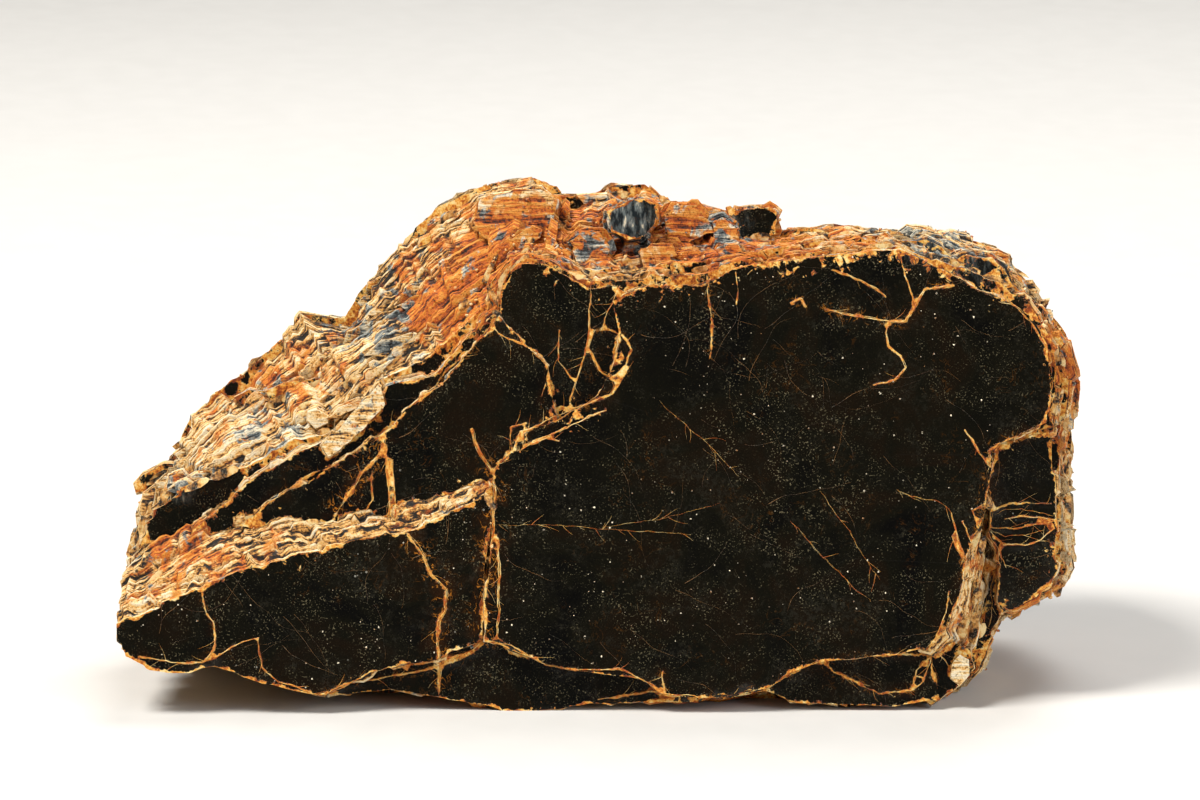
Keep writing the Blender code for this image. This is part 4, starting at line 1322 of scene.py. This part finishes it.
class Shader:
    """A node material under construction. Its numbers are lengths in millimetres."""

    def __init__(self, name, **uniform):
        self.material = bpy.data.materials.new(name)
        self.material.use_nodes = True
        self.tree = self.material.node_tree
        self.surface = self.tree.nodes["Principled BSDF"]
        for socket, value in uniform.items():
            self.surface.inputs[socket.replace("_", " ")].default_value = value
        coordinates = self.tree.nodes.new("ShaderNodeTexCoord")
        self.place = self.moved(coordinates.outputs["Object"], (1.0 / MM,) * 3, (LEAN, 0.0, 0.0))

    def node(self, kind, settings=None, **inputs):
        """A new node, with settings, and values or links for its inputs."""
        made = self.tree.nodes.new(kind)
        for name, value in (settings or {}).items():
            setattr(made, name, value)
        for name, value in inputs.items():
            key = name.replace("_", " ")
            socket = made.inputs[int(name[2:])] if name.startswith("at") else made.inputs[key]
            if isinstance(value, bpy.types.NodeSocket):
                self.tree.links.new(value, socket)
            else:
                socket.default_value = value
        return made

    def moved(self, place, scale, turn=(0.0, 0.0, 0.0)):
        """Coordinates (u, w, v) turned and stretched."""
        return self.node("ShaderNodeMapping", Vector=place, Scale=scale, Rotation=turn).outputs[0]

    def noise(self, length, detail=3.0, stretch=None, twist=0.0, turn=(0.0, 0.0, 0.0),
              place=None, rough=0.6):
        """Soft noise from 0 to 1 with swells of the stated length."""
        place = place or self.place
        place = self.moved(place, stretch, turn) if stretch else place
        made = self.node("ShaderNodeTexNoise", Vector=place, Scale=1.0 / length, Detail=detail,
                         Roughness=rough, Distortion=twist)
        return made.outputs[0]

    def cells(self, length, stretch=None, output="Distance", turn=(0.0, 0.0, 0.0)):
        """The distance in cells of the stated size, or each cell's own number."""
        place = self.moved(self.place, stretch, turn) if stretch else self.place
        return self.node("ShaderNodeTexVoronoi", Vector=place, Scale=1.0 / length).outputs[output]

    def bedded(self, along, across):
        """Coordinates that run along the sheets' broken edges and across them."""
        edge = self.node("ShaderNodeCombineXYZ", X=self.times(self.value("along"), along),
                         Y=self.times(self.value("across"), across)).outputs[0]
        block = self.moved(self.place, (along, 1.0, across), (0.0, STREAK_TILT, 0.0))
        on_block = self.step(self.value("cleavage"), 0.1, 0.12)
        mixed = self.node("ShaderNodeMix", {"data_type": "VECTOR"}, at0=on_block, at4=edge,
                          at5=block)
        return mixed.outputs[1]

    def value(self, name):
        """One of the mesh's own numbers."""
        return self.node("ShaderNodeAttribute", {"attribute_name": name}).outputs["Fac"]

    def step(self, value, low, high, start=0.0, end=1.0):
        """A soft step: start below low, end above high."""
        made = self.node("ShaderNodeMapRange", {"interpolation_type": "SMOOTHSTEP"},
                         Value=value, From_Min=low, From_Max=high, To_Min=start, To_Max=end)
        return made.outputs[0]

    def ridge(self, value, middle, width):
        """1 where a value is close to its middle one: the contour lines of a noise."""
        off = self.math("ABSOLUTE", self.math("SUBTRACT", value, middle))
        return self.step(off, 0.0, width, 1.0, 0.0)

    def math(self, operation, a, b=0.0):
        """A sum, a product or another operation, on two values."""
        return self.node("ShaderNodeMath", {"operation": operation}, at0=a, at1=b).outputs[0]

    def times(self, *values):
        """The product of several values."""
        product = values[0]
        for value in values[1:]:
            product = self.math("MULTIPLY", product, value)
        return product

    def total(self, *weighted):
        """The sum of pairs of a value and its weight."""
        total = self.times(*weighted[0])
        for value, weight in weighted[1:]:
            total = self.math("ADD", total, self.math("MULTIPLY", value, weight))
        return total

    def most(self, *values):
        """The largest of several values."""
        largest = values[0]
        for value in values[1:]:
            largest = self.math("MAXIMUM", largest, value)
        return largest

    def blend(self, share, first, second):
        """One colour turning into another."""
        made = self.node("ShaderNodeMix", {"data_type": "RGBA"}, at0=share)
        for index, colour in ((6, first), (7, second)):
            if isinstance(colour, bpy.types.NodeSocket):
                self.tree.links.new(colour, made.inputs[index])
            else:
                made.inputs[index].default_value = (*colour, 1.0)
        return made.outputs[2]

    def ramp(self, value, *stops):
        """Colours along a scale: pairs of a place on it and the colour there."""
        made = self.node("ShaderNodeValToRGB", at0=value)
        elements = made.color_ramp.elements
        while len(elements) < len(stops):
            elements.new(0.5)
        for element, (place, colour) in zip(elements, stops):
            element.position = place
            element.color = (*colour, 1.0)
        return made.outputs[0]

    def finish(self, colour, roughness, height, bump):
        """Connect what was worked out, and give back the material."""
        self.tree.links.new(colour, self.surface.inputs["Base Color"])
        self.tree.links.new(roughness, self.surface.inputs["Roughness"])
        relief = self.node("ShaderNodeBump", Height=height, Strength=bump, Distance=MM)
        self.tree.links.new(relief.outputs[0], self.surface.inputs["Normal"])
        return self.material


def glass_colour(shader, fine, haze, sheets):
    """The cleavage face's own colours: dark mica with haze, frost, lower sheets and grit."""
    step, noise, times = shader.step, shader.noise, shader.times
    colour = shader.ramp(noise(7.0, 6.0, twist=0.8), (0.36, DARK_MICA), (0.50, GREEN_MICA),
                         (0.60, BROWN_MICA), (0.72, GREEN_MICA))
    colour = shader.blend(times(haze, 0.8), colour, HAZE)
    frosted = step(noise(4.4, 6.0, twist=2.0), 0.46, 0.60, 0.08, 1.0)
    frost = times(step(noise(0.13, 2.0), 0.59, 0.70), frosted)
    colour = shader.blend(times(frost, 0.8), colour, FROST)
    colour = shader.blend(times(step(sheets, 0.6, 0.9), 0.35), colour, GREEN_MICA)
    speck_size = step(shader.cells(0.42, output="Color"), 0.55, 1.0, 0.0, 0.22)
    speck = shader.math("LESS_THAN", shader.total((shader.cells(0.42), 1.0), (fine, 0.12)),
                        shader.math("ADD", speck_size, 0.06))
    grit = times(speck, step(noise(2.5, 3.0), 0.50, 0.6))
    return shader.blend(times(grit, 0.6), colour, DUST)


def films(shader, colour):
    """The cool film on the face, the halos of its cracks, and the fine web between them."""
    step, noise, times = shader.step, shader.noise, shader.times
    cool_and_shade = shader.ramp(noise(0.8, 5.0, (2.2, 1.0, 0.7), turn=(0.0, 0.5, 0.0)), (0.44, COOL_DARK),
                       (0.60, COOL_GREY), (0.68, SALT))
    colour = shader.blend(times(step(shader.value("cool_and_shade"), 0.3, 0.9), 0.8), colour, cool_and_shade)
    stain = step(shader.value("stain"), 0.1, 1.0)
    halo = times(stain, step(noise(1.8, 5.0, twist=1.0), 0.42, 0.66), 0.5)
    colour = shader.blend(halo, colour, HALO)
    web = times(shader.ridge(noise(1.5, 5.0, twist=0.8), 0.5, 0.014),
                step(noise(0.9, 2.0), 0.42, 0.55))
    web_strength = shader.most(step(stain, 0.1, 0.6, 0.0, 0.8),
                               step(noise(5.0, 3.0), 0.50, 0.62, 0.0, 0.06))
    return shader.blend(times(web, web_strength), colour, ORANGE)


def mineral_and_rim_glow(shader, fine):
    """Where golden filling covers the face, in its cracks and in patches, and where a glow of light
    is painted along its broken rim.
    """
    step, noise = shader.step, shader.noise
    uneven = shader.math("SUBTRACT", fine, 0.5)
    ragged = shader.total((uneven, 2.4), (shader.math("SUBTRACT", noise(1.6, 3.0), 0.5), 2.8))
    vein = step(shader.math("ADD", shader.value("crack"), ragged), 0.15, 0.6, 1.0, 0.0)
    # Painted glow: a thin golden band along the broken rim, standing in for light caught by the thin
    # sheet edges.
    rim_glow_width = step(noise(1.7, 3.0), 0.42, 0.68, 0.02, 0.30)
    ragged_rim = shader.total((shader.value("rim"), 1.0), (uneven, 0.6))
    rim = step(shader.math("SUBTRACT", rim_glow_width, ragged_rim), 0.0, 0.06)
    crust = shader.total((noise(0.7, 6.0, twist=0.5), 1.0), (shader.value("crust"), 0.2),
                         (shader.value("rim"), -0.05))
    return shader.most(vein, rim, step(crust, 0.66, 0.70))


def face_material():
    """The dark, glassy cleavage face, with its haze, dust, crust, stained cracks and a painted glow
    along its broken rim.
    """
    shader = Shader("mica_face", IOR=1.38, Specular_IOR_Level=0.4, Coat_Weight=0.05,
                    Coat_Roughness=0.1)
    step, noise, times = shader.step, shader.noise, shader.times
    fine = noise(0.32, 5.0, rough=0.7)
    haze = times(step(noise(3.6, 7.0, twist=1.2, rough=0.68), 0.46, 0.66), step(fine, 0.38, 0.64))
    sheets = shader.cells(4.2, (0.45, 0.1, 1.3), "Color", (0.0, 0.7, 0.0))
    tone = shader.total((noise(1.2, 5.0, twist=0.5), 0.5), (fine, 0.5))
    # The colours of the crack filling and crust, also used for the painted glow along the rim.
    fill_and_glow = shader.ramp(tone, (0.38, DEEP_RUST), (0.44, RUST), (0.485, ORANGE), (0.53, GOLD),
                          (0.59, CREAM))
    marks = mineral_and_rim_glow(shader, fine)
    bare = films(shader, glass_colour(shader, fine, haze, sheets))
    colour = shader.blend(marks, bare, fill_and_glow)
    roughness = shader.total((haze, 0.22), (marks, 0.45), (fine, 0.08))
    roughness = shader.math("ADD", roughness, 0.13)
    height = shader.total((noise(3.0, 2.0), 0.10), (sheets, 0.006), (times(fine, marks), 0.14),
                          (marks, 0.02), (fine, 0.003))
    return shader.finish(colour, roughness, height, 0.5)


def edge_material():
    """The weathered broken edges of the sheets: laminated, crusted and stained with rust, with
    painted shade in their nooks.
    """
    shader = Shader("mica_edge", IOR=1.45, Specular_IOR_Level=0.4)
    step, noise, times = shader.step, shader.noise, shader.times
    streaks = noise(1.0, 5.0, place=shader.bedded(0.30, 2.6), rough=0.64)
    threads = noise(1.0, 3.0, place=shader.bedded(0.8, 8.0))
    blotch, grit = noise(0.8, 6.0, twist=0.2, rough=0.68), noise(0.17, 3.0)
    # Tone drops in nooks as painted shade and rises a little on raised edges; the pale spots raise
    # it, partly as painted light.
    tone = shader.total((streaks, 0.48), (threads, 0.16), (blotch, 0.22), (grit, 0.14),
                        (shader.value("nook_shade_and_raised_edge"), 0.06), (shader.value("pale"), 0.03))
    plain = shader.ramp(tone, (0.44, SOOT_AND_SHADE), (0.472, EDGE_DARK), (0.494, TAN), (0.517, EDGE_GOLD),
                        (0.55, EDGE_CREAM), (0.62, SALT))
    rusty = shader.ramp(tone, (0.41, SOOT_AND_SHADE), (0.45, DEEP_RUST), (0.495, RUST_ORANGE),
                        (0.545, ORANGE), (0.61, EDGE_GOLD), (0.68, EDGE_CREAM))
    cool_and_shade = shader.ramp(tone, (0.41, SOOT_AND_SHADE), (0.47, COOL_DARK), (0.53, COOL_GREY), (0.60, SALT))
    rust_share = shader.total((shader.value("rust"), 0.28), (noise(2.6, 5.0, twist=1.0), 1.0))
    colour = shader.blend(step(rust_share, 0.55, 0.68), plain, rusty)
    cool_share = shader.total((shader.value("cool_and_shade"), 0.24), (noise(1.3, 5.0, twist=0.6), 1.0))
    cool_share = step(cool_share, 0.58, 0.66)
    colour = shader.blend(cool_share, colour, cool_and_shade)
    pits = times(step(shader.cells(0.6), 0.12, 0.24, 1.0, 0.0), step(noise(1.3, 2.0), 0.5, 0.6))
    # Painted shade: nooks are darkened towards the darkest colour, together with real pits and dark
    # grit.
    nook_shade = step(shader.value("nook_shade_and_raised_edge"), -0.9, -0.15, 0.7, 0.0)
    specks_and_nook_shade = shader.most(times(pits, 0.85), nook_shade, step(grit, 0.32, 0.42, 0.6, 0.0))
    colour = shader.blend(specks_and_nook_shade, colour, SOOT_AND_SHADE)
    roughness = shader.total((grit, 0.4), (cool_share, -0.2), (streaks, 0.3))
    roughness = shader.math("ADD", roughness, 0.28)
    height = shader.total((streaks, 0.30), (threads, 0.14), (grit, 0.12), (blotch, 0.14),
                          (pits, -0.12))
    return shader.finish(colour, roughness, height, 0.9)


def grain_material(name, colours, length):
    """Loose grains, flakes and threads, each of a shade of its own."""
    shader = Shader(name, IOR=1.5)
    shade, grit = shader.noise(length, 3.0), shader.noise(0.12, 3.0)
    colour = shader.ramp(shade, *zip((0.40, 0.47, 0.53, 0.62), colours))
    colour = shader.blend(shader.step(grit, 0.5, 0.7, 0.0, 0.3), colour, SALT)
    colour = shader.blend(shader.step(grit, 0.3, 0.42, 0.5, 0.0), colour, SOOT_AND_SHADE)
    roughness = shader.step(grit, 0.2, 0.8, 0.3, 0.75)
    return shader.finish(colour, roughness, shader.times(grit, 0.05), 0.7)


def floor_material():
    """Pale paper."""
    shader = Shader("pale_floor")
    mottle = shader.noise(4.0, 4.0)
    colour = shader.blend(shader.step(mottle, 0.3, 0.7), PAPER_DARK, PAPER_LIGHT)
    roughness = shader.step(mottle, 0.3, 0.7, 0.75, 0.85)
    return shader.finish(colour, roughness, shader.times(mottle, 0.02), 0.2)


# Staging

def make_floor():
    """A wide, flat, pale floor for the stone to stand on."""
    mesh = bpy.data.meshes.new("floor")
    corners = [(-FLOOR_SIZE, -FLOOR_SIZE), (FLOOR_SIZE, -FLOOR_SIZE), (FLOOR_SIZE, FLOOR_SIZE),
               (-FLOOR_SIZE, FLOOR_SIZE)]
    mesh.from_pydata([(x, y, 0.0) for x, y in corners], [], [(0, 1, 2, 3)])
    mesh.materials.append(floor_material())
    return linked("floor", mesh)


def add_light(name, place, size, power, colour):
    """A soft square light that faces the stone."""
    data = bpy.data.lights.new(name, "AREA")
    data.size = size
    data.energy = power
    data.color = colour
    light = linked(name, data)
    light.location = place
    aim = Vector(LIGHT_AIM) - Vector(place)
    light.rotation_euler = aim.to_track_quat("-Z", "Y").to_euler()


def add_camera():
    """The camera, square to the cleavage face."""
    data = bpy.data.cameras.new("camera")
    data.sensor_width = SENSOR_WIDTH
    data.lens = SENSOR_WIDTH * CAMERA_DISTANCE / FRAME_WIDTH
    data.clip_start = 0.01
    camera = linked("camera", data)
    camera.location = book_to_world([(*CAMERA_AIM, -CAMERA_DISTANCE / MM)])[0].tolist()
    camera.rotation_euler = (math.radians(90.0) - LEAN, 0.0, 0.0)
    bpy.context.scene.camera = camera


def set_world():
    """Warm grey surroundings."""
    world = bpy.data.worlds.new("surroundings")
    world.use_nodes = True
    background = world.node_tree.nodes["Background"]
    background.inputs["Color"].default_value = (*SURROUNDINGS, 1.0)
    background.inputs["Strength"].default_value = SURROUNDINGS_STRENGTH
    bpy.context.scene.world = world


def main():
    """Build the pieces, dress them and set the stage."""
    near_cracks = Cracks(FRONT_CRACKS)
    far_cracks = Cracks(back_cracks(random.Random(SEEDS["back_cracks"])))
    book = make_book(near_cracks, far_cracks)
    book.data.materials.clear()
    book.data.materials.append(face_material())
    book.data.materials.append(edge_material())
    paint_by_kind(book.data)
    depth = surface_finder(book.data)
    small = [
        (make_grains(book.data), "crust_grain", (EDGE_DARK, RUST_ORANGE, EDGE_GOLD, EDGE_CREAM),
         0.5),
        (make_flakes(), "sprung_flake", (BROWN_MICA, TAN, EDGE_GOLD, CREAM), 0.9),
        (make_threads(depth, near_cracks, far_cracks), "golden_thread",
         (RUST_ORANGE, ORANGE, GOLD, CREAM), 0.8),
        (make_hairlines(depth), "hairline", (GREEN_MICA, HALO, HAIRLINE, TAN), 1.6),
        (make_dust(), "dust", (TAN, DUST, SALT, SALT), 0.3),
    ]
    for piece, name, colours, length in small:
        piece.data.materials.append(grain_material(name, colours, length))
    for piece in (book, *(entry[0] for entry in small)):
        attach(piece, "root")
    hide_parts("biotite")
    make_floor()
    for light in LIGHTS:
        add_light(*light)
    set_world()
    add_camera()
    bpy.context.scene.view_settings.view_transform = "Standard"


main()
